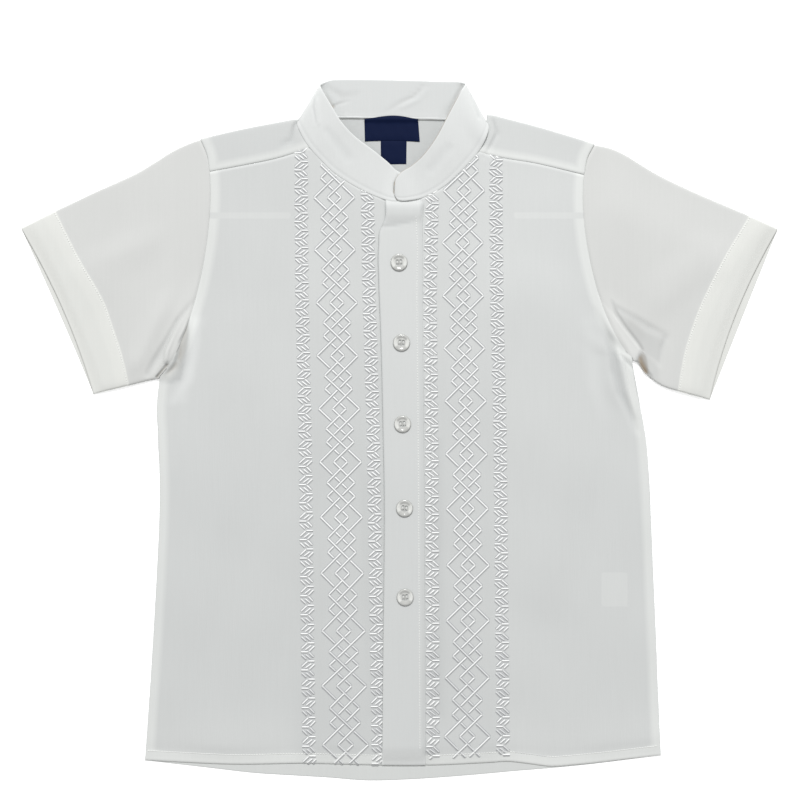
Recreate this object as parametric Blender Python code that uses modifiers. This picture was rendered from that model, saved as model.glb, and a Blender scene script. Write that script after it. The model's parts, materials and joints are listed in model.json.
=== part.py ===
"""A child's guayabera shirt, size 4: short sleeves, a yoke, a stand collar and a buttoned placket.

It lies flat, front up, on a surface at z = 0. The neck is at +Y and the wearer's left is at +X,
so the left front, which laps over the right one, is at +X too. The tables are in millimetres.
"""

import math
from collections import namedtuple

import bmesh
import bpy
from mathutils import Matrix, Vector
from mathutils.bvhtree import BVHTree

MM = 0.001

# The cloth, and how its layers lie on each other
WALL = 1.0
SEAM = 0.3  # between two pieces, where they meet or lie on each other
BACK_TOP = WALL  # the back lies on the surface
FRONT_UNDER = BACK_TOP + SEAM
HEM = 7.0  # how deep the body's hem is turned up
HEM_EXTRA = 0.4  # how much a hem adds to the wall
HEM_STEP = 1.0  # the height over which the wall gets thicker
HEM_RISE_FROM = 2.2 * HEM  # where a front starts to rise over the back's hem
FOLD_RADIUS = SEAM / 2  # inside a pressed fold
FOLD_REACH = WALL + FOLD_RADIUS
FOLD_STEPS = 4

# Driving sizes of the garment
YOKE_BACK_SEAM_Y = 150.0
RIGHT_CORNER_X = -62.3  # where the front yoke seam meets the neck seam
LEFT_CORNER_X = 54.5
NECK_FRONT_Y = 159.2
UNDERLAP_X = 14.0  # the right front's edge, under the placket
PLACKET_WALL = 1.4  # two layers of cloth
PLACKET_TOP_Y = 158.8
LAP_START_X = 30.0  # the left front comes up from here to the placket
LAP_LENGTH = 12.0
BULGE = 1.4  # the fold pushed up at the placket's top
BULGE_LENGTH = 12.0
BAND_WALL = 1.6  # the collar: two layers of cloth and an interlining
BAND_LOWEST = BAND_WALL / 2 + 0.05  # its middle, just clear of the surface
NECK_CORNER = 1.2  # how far the back neckline drops beside a shoulder
BUTTON_HOLE_RADIUS = 0.85
BUTTON_HOLE_FROM_CENTRE = 1.77
BUTTON_CUT_LENGTH = 8.0
LABEL_SIZE = (38.6, 15.9)
SIZE_TAB_SIZE = (18.2, 15.5)
LABEL_WALL = 1.0
LABEL_BEVEL = 0.2
LABEL_TOP_Y = 217.9
LABEL_X = -5.6
SIZE_TAB_X = -4.2
NECK_BACK_Y = 218.4  # the collar's seam at the back of the neck
THREAD_WALL = 0.8  # how far the embroidery stands up
LATTICE_UNIT = 4.6  # across, from one crossing of the lattice to the next
LATTICE_ROWS = 8  # and so many of them down one repeat
LATTICE_WIDTH = 1.5
CHAINS_PER_REPEAT = 3.1  # a chain's repeats to one of the lattice's
CHAINS_ABOVE = 9  # a chain's repeats above its table's start, and below it, more than any front holds
CHAINS_BELOW = 30
CHAIN_POINT = 4.9  # from the chain's middle to the points at its sides
CHAIN_NOTCH = 0.6  # and from there to the notch behind each point
THREAD_MARGIN = 0.7  # thread ends this far from the cloth's edge
THREAD_CLEARS = 3.4  # and clears the cloth this far up and down from it


def table(columns, *rows):
    """A short table, its rows of numbers under named columns."""
    Row = namedtuple("Row", columns)
    return [Row(*row) for row in rows]


# The edges of the garment as it lies
RIGHT_SIDE = table(
    "y x",
    (35.2, -168.0),
    (24.0, -170.0),
    (-5.0, -169.0),
    (-48.0, -167.7),
    (-98.0, -169.8),
    (-148.0, -172.6),
    (-190.0, -175.3),
    (-231.0, -178.2),
)
LEFT_SIDE = table(
    "y x",
    (48.2, 162.8),
    (37.0, 163.6),
    (20.0, 167.4),
    (-5.0, 172.4),
    (-48.0, 175.4),
    (-98.0, 177.5),
    (-148.0, 179.7),
    (-190.0, 181.2),
    (-227.5, 183.0),
)
FRONT_HEM = table(
    "x y",
    (-178.2, -231.0),
    (-116.0, -233.8),
    (-67.0, -233.2),
    (-16.0, -234.4),
    (24.0, -234.4),
    (67.0, -232.4),
    (82.0, -231.8),
    (104.0, -235.4),
    (183.0, -227.5),
)
BACK_HEM = table(
    "x y",
    (-178.2, -231.0),
    (-141.0, -235.2),
    (-99.0, -240.0),
    (-57.0, -242.4),
    (-22.0, -245.0),
    (27.0, -243.0),
    (83.0, -238.2),
    (125.0, -234.6),
    (183.0, -227.5),
)
RIGHT_SHOULDER = table("x y", (-141.0, 203.4), (-110.0, 210.6), (-72.6, 217.8))
LEFT_SHOULDER = table("x y", (63.4, 220.9), (97.0, 212.2), (138.4, 199.8))
BACK_NECK = table("x y", (-72.6, 213.5), (-43.0, 217.9), (34.0, 217.9), (62.2, 211.4))
RIGHT_YOKE_SEAM = table("x y", (-133.4, 180.3), (-101.0, 186.5), (-85.0, 190.0), (RIGHT_CORNER_X, 197.0))
LEFT_YOKE_SEAM = table("x y", (LEFT_CORNER_X, 194.2), (71.5, 190.1), (95.5, 186.2), (130.6, 178.0))
RIGHT_NECK = table(
    "x y",
    (RIGHT_CORNER_X, 197.0),
    (-57.0, 191.1),
    (-44.5, 179.2),
    (-27.7, 168.7),
    (-13.7, 162.4),
    (-3.9, 159.6),
    (UNDERLAP_X, NECK_FRONT_Y),
)
LEFT_NECK = table("x y", (16.5, 162.0), (29.4, 169.2), (41.0, 179.2), (LEFT_CORNER_X, 194.2))
RIGHT_FLAP_NECK = table("y x", (197.0, -62.6), (205.0, -68.8), (212.0, -72.2), (217.8, -72.6))
LEFT_FLAP_NECK = table("y x", (194.2, 55.0), (204.0, 61.2), (212.0, 63.2), (220.9, 63.4))
PLACKET = table(
    "y right_x left_x",
    (PLACKET_TOP_Y, -9.4, 14.8),
    (146.5, -9.4, 15.6),
    (141.0, -12.7, 16.4),
    (91.0, -13.3, 16.0),
    (0.0, -11.7, 16.9),
    (-59.0, -10.7, 17.3),
    (-150.0, -11.5, 17.8),
    (-234.4, -12.3, 18.2),
)
BUTTONS = table("x y", (-0.3, 116.9), (1.4, 60.9), (2.1, 4.2), (3.5, -54.6), (3.9, -116.6))

# The embroidery on the wearer's right and left: the middles of its large diamonds
RIGHT_DIAMONDS = table(
    "x y",
    (-45.5, 162.4),
    (-45.2, 126.0),
    (-43.8, 88.9),
    (-43.4, 51.8),
    (-42.1, 14.7),
    (-41.2, -22.4),
    (-40.6, -60.9),
    (-40.0, -100.1),
    (-39.1, -140.4),
    (-38.7, -178.8),
    (-37.7, -219.8),
)
LEFT_DIAMONDS = table(
    "x y",
    (45.0, 167.3),
    (44.0, 130.9),
    (44.5, 93.8),
    (45.3, 57.1),
    (46.2, 20.3),
    (46.8, -16.8),
    (47.3, -55.0),
    (47.9, -94.5),
    (47.7, -133.0),
    (47.3, -172.9),
    (47.3, -214.2),
)
# One repeat of the lattice's threads, from one large diamond's middle down to the next, in crossings
LATTICE = table(
    "from_u from_v to_u to_v",
    (-3, 0, 2, 5),
    (-1, 0, 2, 3),
    (1, 0, -2, 3),
    (3, 0, -2, 5),
    (-2, 3, 3, 8),
    (2, 3, -3, 8),
    (-2, 5, 1, 8),
    (2, 5, -1, 8),
)
# The chains beside them: where a repeat starts, and where the chain's middle is at four heights
CHAINS = table(
    "name side start_y top_x upper_x lower_x bottom_x",
    ("right_outer", -1, 103.2, -69.5, -68.5, -66.2, -63.4),
    ("right_inner", -1, 99.7, -22.4, -21.3, -18.8, -15.8),
    ("left_inner", 1, 93.0, 23.5, 21.9, 22.5, 23.5),
    ("left_outer", 1, 100.5, 67.5, 68.0, 70.3, 72.5),
)
CHAIN_YS = (160.0, 95.0, 0.0, -228.0)
# How far above the front's hem the embroidery ends
RIGHT_END = 1.0
LEFT_END = 4.5

BUTTON_PROFILE = table(
    "radius z",
    (0.0, 1.3),
    (3.7, 1.4),
    (4.4, 2.1),
    (5.3, 2.1),
    (5.9, 1.5),
    (5.8, 0.6),
    (4.7, 0.0),
    (0.0, 0.0),
)

# The armholes: the seam's two ends, and how far it bows towards the body between them
Armhole = namedtuple("Armhole", "side top_x top_y low_x low_y bow")
RIGHT_ARMHOLE = Armhole(-1, -141.0, 203.2, -170.3, 36.0, 19.0)
LEFT_ARMHOLE = Armhole(1, 138.4, 199.6, 165.8, 49.0, 20.0)
BOW_SHAPE = 0.6
ARMHOLE_SHARES = (0.0, 0.07, 0.14, 0.23, 0.32, 0.44, 0.56, 0.68, 0.79, 0.89, 0.96, 1.0)
UNDERARM_STEP = 0.8  # from the armhole's end down to the side seam's
NEAR = 3.0  # a row is left out where it would be this near to a seam

# The sleeves' sections from the armhole to the cuff, each from the shoulder fold to the underarm
RIGHT_SLEEVE = table(
    "top_x top_y low_x low_y front_bow back_bow",
    (*RIGHT_ARMHOLE[1:], RIGHT_ARMHOLE.bow),
    (-158.0, 195.4, -173.0, 35.0, 17.0, 17.0),
    (-183.0, 180.2, -177.5, 34.0, 14.0, 14.0),
    (-211.0, 167.4, -183.0, 32.6, 10.5, 10.5),
    (-240.5, 153.4, -189.5, 31.0, 7.0, 6.0),
    (-264.5, 141.2, -213.9, 25.2, 2.6, 0.8),
)
LEFT_SLEEVE = table(
    "top_x top_y low_x low_y front_bow back_bow",
    (*LEFT_ARMHOLE[1:], LEFT_ARMHOLE.bow),
    (154.0, 194.6, 170.0, 45.0, 18.5, 18.5),
    (181.0, 178.6, 175.5, 37.0, 15.0, 15.0),
    (209.0, 165.3, 183.5, 31.0, 11.5, 11.0),
    (241.0, 151.6, 194.3, 27.2, 8.5, 4.0),
    (264.5, 140.7, 216.9, 21.2, 4.9, 0.2),
)
SLEEVE_STATIONS = (0, 0.4, 0.8, 1.2, 1.6, 2, 2.5, 3, 3.5, 3.96, 4, 4.5, 5)
SLEEVE_HEM_STATION = 4
SLEEVE_EASE_STATION = 0.8  # by here the seam's rounded bow has eased into the tube

# The largest folds of the front and the sleeves, each a soft ridge
FOLDS = table(
    "from_x from_y to_x to_y half_width height",
    (-156.0, 53.0, -146.0, 82.0, 12.0, 2.4),
    (-184.0, 44.0, -163.0, 92.0, 9.0, 1.6),
    (151.0, 76.0, 155.0, 70.0, 11.0, 2.0),
    (145.0, 62.0, 152.0, 18.0, 13.0, 1.8),
    (-214.0, 108.0, -178.0, 132.0, 18.0, 1.2),
    (186.0, 96.0, 214.0, 120.0, 18.0, 1.2),
    (-104.0, 70.0, -92.0, -120.0, 40.0, 0.9),
    (112.0, 90.0, 104.0, -100.0, 40.0, 0.9),
)

# The collar band's sections, from its right end round the back of the neck to its left end
BAND = table(
    "seam_x seam_y seam_z edge_x edge_y edge_z",
    (7.5, 161.2, 3.4, 6.5, 177.0, 3.6),
    (-3.9, 160.0, 3.4, -1.8, 180.4, 3.8),
    (-13.7, 162.6, 3.4, -8.1, 186.2, 4.6),
    (-27.7, 168.9, 3.4, -17.9, 194.0, 5.6),
    (-44.5, 179.4, 3.4, -32.0, 204.6, 6.8),
    (-57.0, 191.4, 3.5, -41.0, 214.4, 7.6),
    (-64.6, 200.5, 3.7, -48.4, 226.4, 7.6),
    (-69.6, 209.5, 3.9, -54.6, 237.2, 6.6),
    (-71.2, 214.8, 2.5, -56.0, 242.0, 4.2),
    (-66.0, 217.4, 0.9, -51.0, 244.4, 1.4),
    (-43.0, NECK_BACK_Y, 0.8, -43.0, 245.0, 0.8),
    (-5.0, NECK_BACK_Y, 0.8, -8.0, 244.4, 0.8),
    (34.0, NECK_BACK_Y, 0.8, 33.0, 243.2, 0.8),
    (56.0, 217.8, 0.9, 42.0, 243.0, 1.4),
    (61.6, 213.0, 2.5, 46.0, 241.0, 4.2),
    (60.6, 205.6, 3.9, 42.6, 234.8, 6.6),
    (54.5, 194.4, 3.7, 35.0, 220.6, 7.6),
    (41.0, 179.4, 4.1, 25.6, 203.0, 7.4),
    (29.4, 169.6, 4.8, 16.4, 190.6, 6.8),
    (16.5, 162.8, 5.4, 8.6, 183.8, 6.2),
    (5.0, 160.4, 5.5, 1.6, 179.4, 6.1),
    (-1.1, 161.0, 5.5, -2.6, 174.6, 6.0),
    (-3.3, 164.4, 5.6, -3.6, 170.0, 5.9),
)
BAND_COUNT = 40
BAND_ROWS = 3

# Colour, roughness
CLOTH = ((0.78, 0.79, 0.80), 0.85)
PEARL = ((0.80, 0.79, 0.76), 0.22)
NAVY = ((0.012, 0.022, 0.07), 0.5)
THREAD = ((0.87, 0.88, 0.87), 0.5)

for old in list(bpy.data.objects):
    bpy.data.objects.remove(old, do_unlink=True)


def new_collection(name):
    made = bpy.data.collections.new(name)
    bpy.context.scene.collection.children.link(made)
    return made


SHIRT = new_collection("guayabera_shirt")
CUTTERS = new_collection("cutters")
CUTTERS.hide_render = True


def lerp(a, b, share):
    return a + (b - a) * share


def clamp(value):
    return min(1.0, max(0.0, value))


def soft_step(share):
    share = clamp(share)
    return share * share * (3 - 2 * share)


def read(rows, at):
    """The second column's value where the first one is at, on a smooth curve through the rows."""
    rows = sorted((row[0], row[1]) for row in rows)
    spot = 0
    while spot < len(rows) - 2 and rows[spot + 1][0] < at:
        spot += 1

    def slope(n):
        low = rows[max(0, n - 1)]
        high = rows[min(len(rows) - 1, n + 1)]
        return (high[1] - low[1]) / (high[0] - low[0])

    (x0, y0), (x1, y1) = rows[spot], rows[spot + 1]
    span = x1 - x0
    t = clamp((at - x0) / span)
    rise = (y1 - y0) * t * t * (3 - 2 * t)
    start = slope(spot) * span * t * (1 - t) ** 2
    end = slope(spot + 1) * span * t * t * (1 - t)
    return y0 + rise + start - end


def blend_rows(rows, place):
    """The table's row at a place between two rows, each column on a smooth curve."""
    first = min(int(place), len(rows) - 2)
    t = place - first
    near = [rows[max(0, min(len(rows) - 1, first + n))] for n in (-1, 0, 1, 2)]
    weights = (
        -0.5 * t + t**2 - 0.5 * t**3,
        1 - 2.5 * t**2 + 1.5 * t**3,
        0.5 * t + 2 * t**2 - 1.5 * t**3,
        -0.5 * t**2 + 0.5 * t**3,
    )
    values = [sum(w * row[n] for w, row in zip(weights, near)) for n in range(len(near[0]))]
    return type(rows[0])(*values)


def steps(low, high, count):
    return [lerp(low, high, n / count) for n in range(count + 1)]


def bow(share, shape=BOW_SHAPE):
    """How far a seam bows between its two ends, from 0 to 1."""
    return max(0.0, 4 * share * (1 - share)) ** shape


def armhole_x(hole, y):
    """The body's edge at the armhole seam. The gap along x is wider where the seam runs aslant."""
    share = clamp((hole.top_y - y) / (hole.top_y - hole.low_y))
    gap = SEAM * (0.5 + 1.5 * share**4)
    return lerp(hole.top_x, hole.low_x, share) - hole.side * (hole.bow * bow(share) + gap)


def inside_folds(top, low):
    """The shares of the way from top to low at which sewn edges meet, the ends just inside a fold."""
    inset = FOLD_REACH / (top - low).length
    return [min(1 - inset, max(inset, share)) for share in ARMHOLE_SHARES]


def armhole_ys(hole, below):
    """The heights at which the pieces round an armhole meet, those under a given one."""
    shares = inside_folds(Vector((hole.top_x, hole.top_y)), Vector((hole.low_x, hole.low_y)))
    found = [lerp(hole.top_y, hole.low_y, share) for share in shares]
    return [y for y in found if y < below - WALL]


def body_edge_x(hole, side_seam, y):
    """A body piece's edge: the side seam, and above it the armhole."""
    if y < hole.low_y - UNDERARM_STEP / 2:
        return read(side_seam, y)
    return armhole_x(hole, max(y, armhole_ys(hole, hole.top_y)[-1]))


def right_edge_x(y):
    return body_edge_x(RIGHT_ARMHOLE, RIGHT_SIDE, y)


def left_edge_x(y):
    return body_edge_x(LEFT_ARMHOLE, LEFT_SIDE, y)


def fold_rise(x, y):
    """How far the largest folds lift the cloth above the layer under it."""
    total = 0.0
    for fold in FOLDS:
        start = Vector((fold.from_x, fold.from_y))
        along = Vector((fold.to_x, fold.to_y)) - start
        here = Vector((x, y)) - start
        share = clamp(here.dot(along) / along.length_squared)
        away = (here - along * share).length / fold.half_width
        if away < 1:
            total += fold.height * math.cos(away * math.pi / 2) ** 2
    return total


def front_under(x, y):
    """The underside of a front, which also clears the hem of the back under its own hem."""
    from_hem = y - read(FRONT_HEM, x)
    return FRONT_UNDER + fold_rise(x, y) + HEM_EXTRA * clamp((HEM_RISE_FROM - from_hem) / HEM)


def right_front_top(x, y):
    in_hem = y - read(FRONT_HEM, x) < HEM + HEM_STEP
    return front_under(x, y) + WALL + HEM_EXTRA * in_hem


def placket_under(x, y):
    return right_front_top(x, y) + SEAM


def left_front_under(x, y):
    """The left front comes up at its edge, where it meets the placket on the right front."""
    lap = soft_step((LAP_START_X - x) / LAP_LENGTH)
    return lerp(front_under(x, y), placket_under(x, y), lap)


def add_patch(cloth, grid, closed=False):
    """Adds a grid of points, row by row, to the cloth's mesh. A closed grid's rows are rings."""
    rows = [[cloth.verts.new(Vector(point) * MM) for point in row] for row in grid]
    for upper, lower in zip(rows, rows[1:]):
        count = len(upper)
        for n in range(count if closed else count - 1):
            after = (n + 1) % count
            cloth.faces.new((upper[n], lower[n], lower[after], upper[after]))
    return rows


def material(name, look):
    colour, roughness = look
    made = bpy.data.materials.new(name)
    made.use_nodes = True
    shader = made.node_tree.nodes["Principled BSDF"]
    shader.inputs["Base Color"].default_value = (*colour, 1.0)
    shader.inputs["Roughness"].default_value = roughness
    shader.inputs["Metallic"].default_value = 0.0
    return made


def add_object(name, mesh, look):
    made = bpy.data.objects.new(name, mesh)
    mesh.shade_smooth()
    mesh.set_sharp_from_angle(angle=math.radians(40))
    if not mesh.materials:
        mesh.materials.append(material(name, look))
    SHIRT.objects.link(made)
    return made


def add_cloth(name, cloth, wall=WALL, extra=0.0, thick=(), middle=False, look=CLOTH):
    """A piece of cloth: a wall raised from its inner surface, or about its middle, and thicker at a hem."""
    thick_at = [vert.co.copy() for vert in thick]
    bmesh.ops.remove_doubles(cloth, verts=cloth.verts, dist=0.00001)
    mesh = bpy.data.meshes.new(name)
    cloth.to_mesh(mesh)
    cloth.free()
    made = add_object(name, mesh, look)
    shell = made.modifiers.new("wall", "SOLIDIFY")
    shell.thickness = (wall + extra) * MM
    shell.offset = 0.0 if middle else 1.0
    shell.use_quality_normals = True
    if thick_at:
        group = made.vertex_groups.new(name="hem")
        marked = {tuple(round(c, 6) for c in point) for point in thick_at}
        chosen = [v.index for v in mesh.vertices if tuple(round(c, 6) for c in v.co) in marked]
        group.add(chosen, 1.0, "REPLACE")
        shell.vertex_group = "hem"
        shell.thickness_vertex_group = wall / (wall + extra)
    return made


Piece = namedtuple("Piece", "left right top bottom corners")
Corners = namedtuple("Corners", "top_left top_right bottom_left bottom_right")


def piece_grid(piece, columns, left_ys, right_ys, height):
    """A grid over a four-sided piece. Its sides give x at a y, its top and bottom y at an x."""
    corners = piece.corners
    top_x = [lerp(piece.left(corners.top_left), piece.right(corners.top_right), c) for c in columns]
    low_x = [lerp(piece.left(corners.bottom_left), piece.right(corners.bottom_right), c) for c in columns]
    grid = []
    for left_y, right_y in zip(left_ys, right_ys):
        left_down = (corners.top_left - left_y) / (corners.top_left - corners.bottom_left)
        right_down = (corners.top_right - right_y) / (corners.top_right - corners.bottom_right)
        row = []
        for n, across in enumerate(columns):
            x = lerp(piece.left(left_y), piece.right(right_y), across)
            down = lerp(left_down, right_down, across)
            y = lerp(piece.top(top_x[n]), piece.bottom(low_x[n]), down)
            row.append((x, y, height(x, y)))
        grid.append(row)
    return grid


def body_ys(hole, top_y, hem_y, count):
    """Heights down a body piece's outer edge: the armhole's, the side seam's, and the hem's."""
    side_y = hole.low_y - UNDERARM_STEP
    above_hem = hem_y + 2 * HEM
    down = [top_y] + armhole_ys(hole, top_y) + steps(side_y, above_hem, count)
    return down + [hem_y + HEM + HEM_STEP, hem_y + HEM, hem_y]


def spread(ys, top_y, hem_y):
    """The same rows at another edge of the piece, between its own ends."""
    return [lerp(top_y, hem_y, (ys[0] - y) / (ys[0] - ys[-1])) for y in ys]


def add_body_piece(name, piece, columns, left_ys, right_ys, height):
    cloth = bmesh.new()
    made = add_patch(cloth, piece_grid(piece, columns, left_ys, right_ys, height))
    hem_rows = [vert for row in made[-2:] for vert in row]
    return add_cloth(name, cloth, extra=HEM_EXTRA, thick=hem_rows)


def add_back():
    top_y = YOKE_BACK_SEAM_Y - SEAM / 2
    right_hem_y = BACK_HEM[0].y
    left_hem_y = BACK_HEM[-1].y
    piece = Piece(
        right_edge_x,
        left_edge_x,
        lambda x: top_y,
        lambda x: read(BACK_HEM, x),
        Corners(top_y, top_y, right_hem_y, left_hem_y),
    )
    right_ys = body_ys(RIGHT_ARMHOLE, top_y, right_hem_y, 7)
    left_ys = body_ys(LEFT_ARMHOLE, top_y, left_hem_y, 7)
    add_body_piece("back", piece, steps(0, 1, 14), right_ys, left_ys, lambda x, y: 0.0)


def split_columns(corner, before, after):
    """Column shares with one on the corner."""
    return steps(0, corner, before) + steps(corner, 1, after)[1:]


def add_right_front():
    def top(x):
        if x < RIGHT_CORNER_X:
            return read(RIGHT_YOKE_SEAM, x) - SEAM / 2
        return read(RIGHT_NECK, x)

    top_y = RIGHT_YOKE_SEAM[0].y - SEAM / 2
    hem_y = FRONT_HEM[0].y
    centre_hem_y = read(FRONT_HEM, UNDERLAP_X)
    start_x = right_edge_x(top_y)
    corner = (RIGHT_CORNER_X - start_x) / (UNDERLAP_X - start_x)
    piece = Piece(
        right_edge_x,
        lambda y: UNDERLAP_X,
        top,
        lambda x: read(FRONT_HEM, x),
        Corners(top_y, NECK_FRONT_Y, hem_y, centre_hem_y),
    )
    ys = body_ys(RIGHT_ARMHOLE, top_y, hem_y, 13)
    centre_ys = spread(ys, NECK_FRONT_Y, centre_hem_y)
    columns = split_columns(corner, 6, 8)
    return add_body_piece("right_front", piece, columns, ys, centre_ys, front_under)


def placket_left_x(y):
    return read([(row.y, row.left_x) for row in PLACKET], y)


def placket_right_x(y):
    return read([(row.y, row.right_x) for row in PLACKET], y)


def add_left_front():
    def top(x):
        if x > LEFT_CORNER_X:
            return read(LEFT_YOKE_SEAM, x) - SEAM / 2
        return read(LEFT_NECK, x)

    def centre_x(y):
        return placket_left_x(y) + SEAM

    top_y = LEFT_YOKE_SEAM[-1].y - SEAM / 2
    hem_y = FRONT_HEM[-1].y
    centre_top_y = LEFT_NECK[0].y
    centre_hem_y = read(FRONT_HEM, centre_x(PLACKET[-1].y))
    start_x = centre_x(centre_top_y)
    corner = (LEFT_CORNER_X - start_x) / (left_edge_x(top_y) - start_x)
    piece = Piece(
        centre_x,
        left_edge_x,
        top,
        lambda x: read(FRONT_HEM, x),
        Corners(centre_top_y, top_y, centre_hem_y, hem_y),
    )
    ys = body_ys(LEFT_ARMHOLE, top_y, hem_y, 13)
    centre_ys = spread(ys, centre_top_y, centre_hem_y)
    columns = split_columns(corner, 5, 7)
    return add_body_piece("left_front", piece, columns, centre_ys, ys, left_front_under)


def add_placket():
    def height(x, y):
        up = clamp((y - PLACKET_TOP_Y + BULGE_LENGTH) / BULGE_LENGTH)
        return placket_under(x, y) + BULGE * bow(up)

    low_y = PLACKET[-1].y
    piece = Piece(
        placket_right_x,
        placket_left_x,
        lambda x: PLACKET_TOP_Y,
        lambda x: read(FRONT_HEM, x),
        Corners(PLACKET_TOP_Y, PLACKET_TOP_Y, low_y, low_y),
    )
    bulge_end_y = PLACKET_TOP_Y - BULGE_LENGTH
    ys = steps(PLACKET_TOP_Y, bulge_end_y, 5) + steps(bulge_end_y, low_y + 2 * HEM, 18)[1:]
    ys += [low_y + HEM + HEM_STEP, low_y + HEM, low_y]
    cloth = bmesh.new()
    add_patch(cloth, piece_grid(piece, steps(0, 1, 3), ys, ys, height))
    add_cloth("placket", cloth, wall=PLACKET_WALL)


def fold_between(back, front, out):
    """Points round a pressed fold, from a point of the back layer to one of the front layer."""
    start, end = Vector(back), Vector(front)
    radius = (end.z - start.z) / 2
    points = []
    for n in range(1, FOLD_STEPS):
        turn = math.pi * n / FOLD_STEPS
        spot = start.lerp(end, (1 - math.cos(turn)) / 2)
        spot += Vector((out.x, out.y, 0.0)) * radius * math.sin(turn)
        points.append(tuple(spot))
    return points


def add_yoke_side(cloth, hole, shoulder, neck_x, flap_neck, front_seam):
    """One shoulder of the yoke: its back, the fold over the shoulder, and the flap in front."""

    def arm(y):
        return armhole_x(hole, y)

    def ordered(arm_value, neck_value):
        return (arm_value, neck_value) if hole.side < 0 else (neck_value, arm_value)

    def fold_y(x):
        return read(shoulder, x) - FOLD_REACH

    arm_fold_y = armhole_ys(hole, hole.top_y)[0]
    back_seam_y = YOKE_BACK_SEAM_Y + SEAM / 2
    neck_fold_y = fold_y(neck_x)
    arm_ys = [arm_fold_y] + [y for y in armhole_ys(hole, arm_fold_y) if y > back_seam_y + NEAR]
    arm_ys.append(back_seam_y)
    neck_ys = steps(neck_fold_y, back_seam_y, len(arm_ys) - 1)
    columns = steps(0, 1, 6)
    left, right = ordered(arm, lambda y: neck_x)
    corners = Corners(*ordered(arm_fold_y, neck_fold_y), back_seam_y, back_seam_y)
    piece = Piece(left, right, fold_y, lambda x: back_seam_y, corners)
    back = piece_grid(piece, columns, *ordered(arm_ys, neck_ys), lambda x, y: BACK_TOP)
    add_patch(cloth, [row[::-1] for row in back])

    up = Vector((0.0, 1.0))
    front_fold = [(x, y, FRONT_UNDER) for x, y, z in back[0]]
    arcs = [fold_between(low, high, up) for low, high in zip(back[0], front_fold)]
    add_patch(cloth, [back[0]] + [list(row) for row in zip(*arcs)] + [front_fold])

    arm_seam_y = front_seam[0 if hole.side < 0 else -1].y
    neck_seam_y = front_seam[-1 if hole.side < 0 else 0].y
    flap_arm_ys = [arm_fold_y] + [y for y in armhole_ys(hole, arm_fold_y) if y > arm_seam_y + NEAR]
    flap_arm_ys.append(arm_seam_y)
    flap_neck_ys = steps(neck_fold_y, neck_seam_y, len(flap_arm_ys) - 1)
    left, right = ordered(arm, lambda y: read(flap_neck, y))
    corners = Corners(*ordered(arm_fold_y, neck_fold_y), *ordered(arm_seam_y, neck_seam_y))
    piece = Piece(left, right, fold_y, lambda x: read(front_seam, x) + SEAM / 2, corners)
    flap = piece_grid(piece, columns, *ordered(flap_arm_ys, flap_neck_ys), front_under)
    flap[0] = front_fold
    add_patch(cloth, flap)
    return neck_ys


def back_neck_y(x):
    return min(NECK_BACK_Y - SEAM, read(BACK_NECK, x))


def add_yoke():
    """The back yoke, and the two flaps that come over the shoulders to the fronts' seams."""
    cloth = bmesh.new()
    right_neck_x = RIGHT_SHOULDER[-1].x
    left_neck_x = LEFT_SHOULDER[0].x
    right_ys = add_yoke_side(
        cloth, RIGHT_ARMHOLE, RIGHT_SHOULDER, right_neck_x, RIGHT_FLAP_NECK, RIGHT_YOKE_SEAM
    )
    left_ys = add_yoke_side(
        cloth, LEFT_ARMHOLE, LEFT_SHOULDER, left_neck_x, LEFT_FLAP_NECK, LEFT_YOKE_SEAM
    )
    back_seam_y = right_ys[-1]
    columns = [right_neck_x, right_neck_x + NECK_CORNER]
    columns += steps(right_neck_x, left_neck_x, 10)[1:-1]
    columns += [left_neck_x - NECK_CORNER, left_neck_x]
    neck_tops = [right_ys[0]] + [back_neck_y(x) for x in columns[1:-1]] + [left_ys[0]]
    grid = []
    for n in range(len(right_ys)):
        share = n / (len(right_ys) - 1)
        row = [(x, lerp(top, back_seam_y, share), BACK_TOP) for x, top in zip(columns, neck_tops)]
        grid.append(row[::-1])
    add_patch(cloth, grid)
    add_cloth("yoke", cloth)


def add_sleeve(name, sections, side):
    """A flat tube: rings from the armhole to the cuff, folded at the shoulder and the underarm."""
    cloth = bmesh.new()
    rings = []
    for station in SLEEVE_STATIONS:
        row = blend_rows(sections, station)
        shift = side * SEAM / 2
        top = Vector((row.top_x + shift, row.top_y))
        low = Vector((row.low_x + shift, row.low_y))
        out = (top - low).normalized()
        shape = lerp(BOW_SHAPE, 1.0, clamp(station / SLEEVE_EASE_STATION))

        def layer(bow_size, height):
            points = []
            for share in inside_folds(top, low):
                spot = top.lerp(low, share)
                x = spot.x - side * bow_size * bow(share, shape)
                points.append((x, spot.y, height(x, spot.y)))
            return points

        def front_height(x, y):
            return FRONT_UNDER + fold_rise(x, y)

        front = layer(row.front_bow, front_height)
        back = layer(row.back_bow, lambda x, y: BACK_TOP)
        top_arc = fold_between(back[0], front[0], out)
        low_arc = fold_between(back[-1], front[-1], -out)
        rings.append(front + low_arc[::-1] + back[::-1] + top_arc)
    if side > 0:
        rings = rings[::-1]
    made = add_patch(cloth, rings, closed=True)
    if side > 0:
        made = made[::-1]
    last_front = len(ARMHOLE_SHARES) - 1
    hem_rows = [row for row, at in zip(made, SLEEVE_STATIONS) if at >= SLEEVE_HEM_STATION]
    hem = [vert for row in hem_rows for vert in row[1:last_front]]
    add_cloth(name, cloth, extra=HEM_EXTRA, thick=hem)


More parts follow.
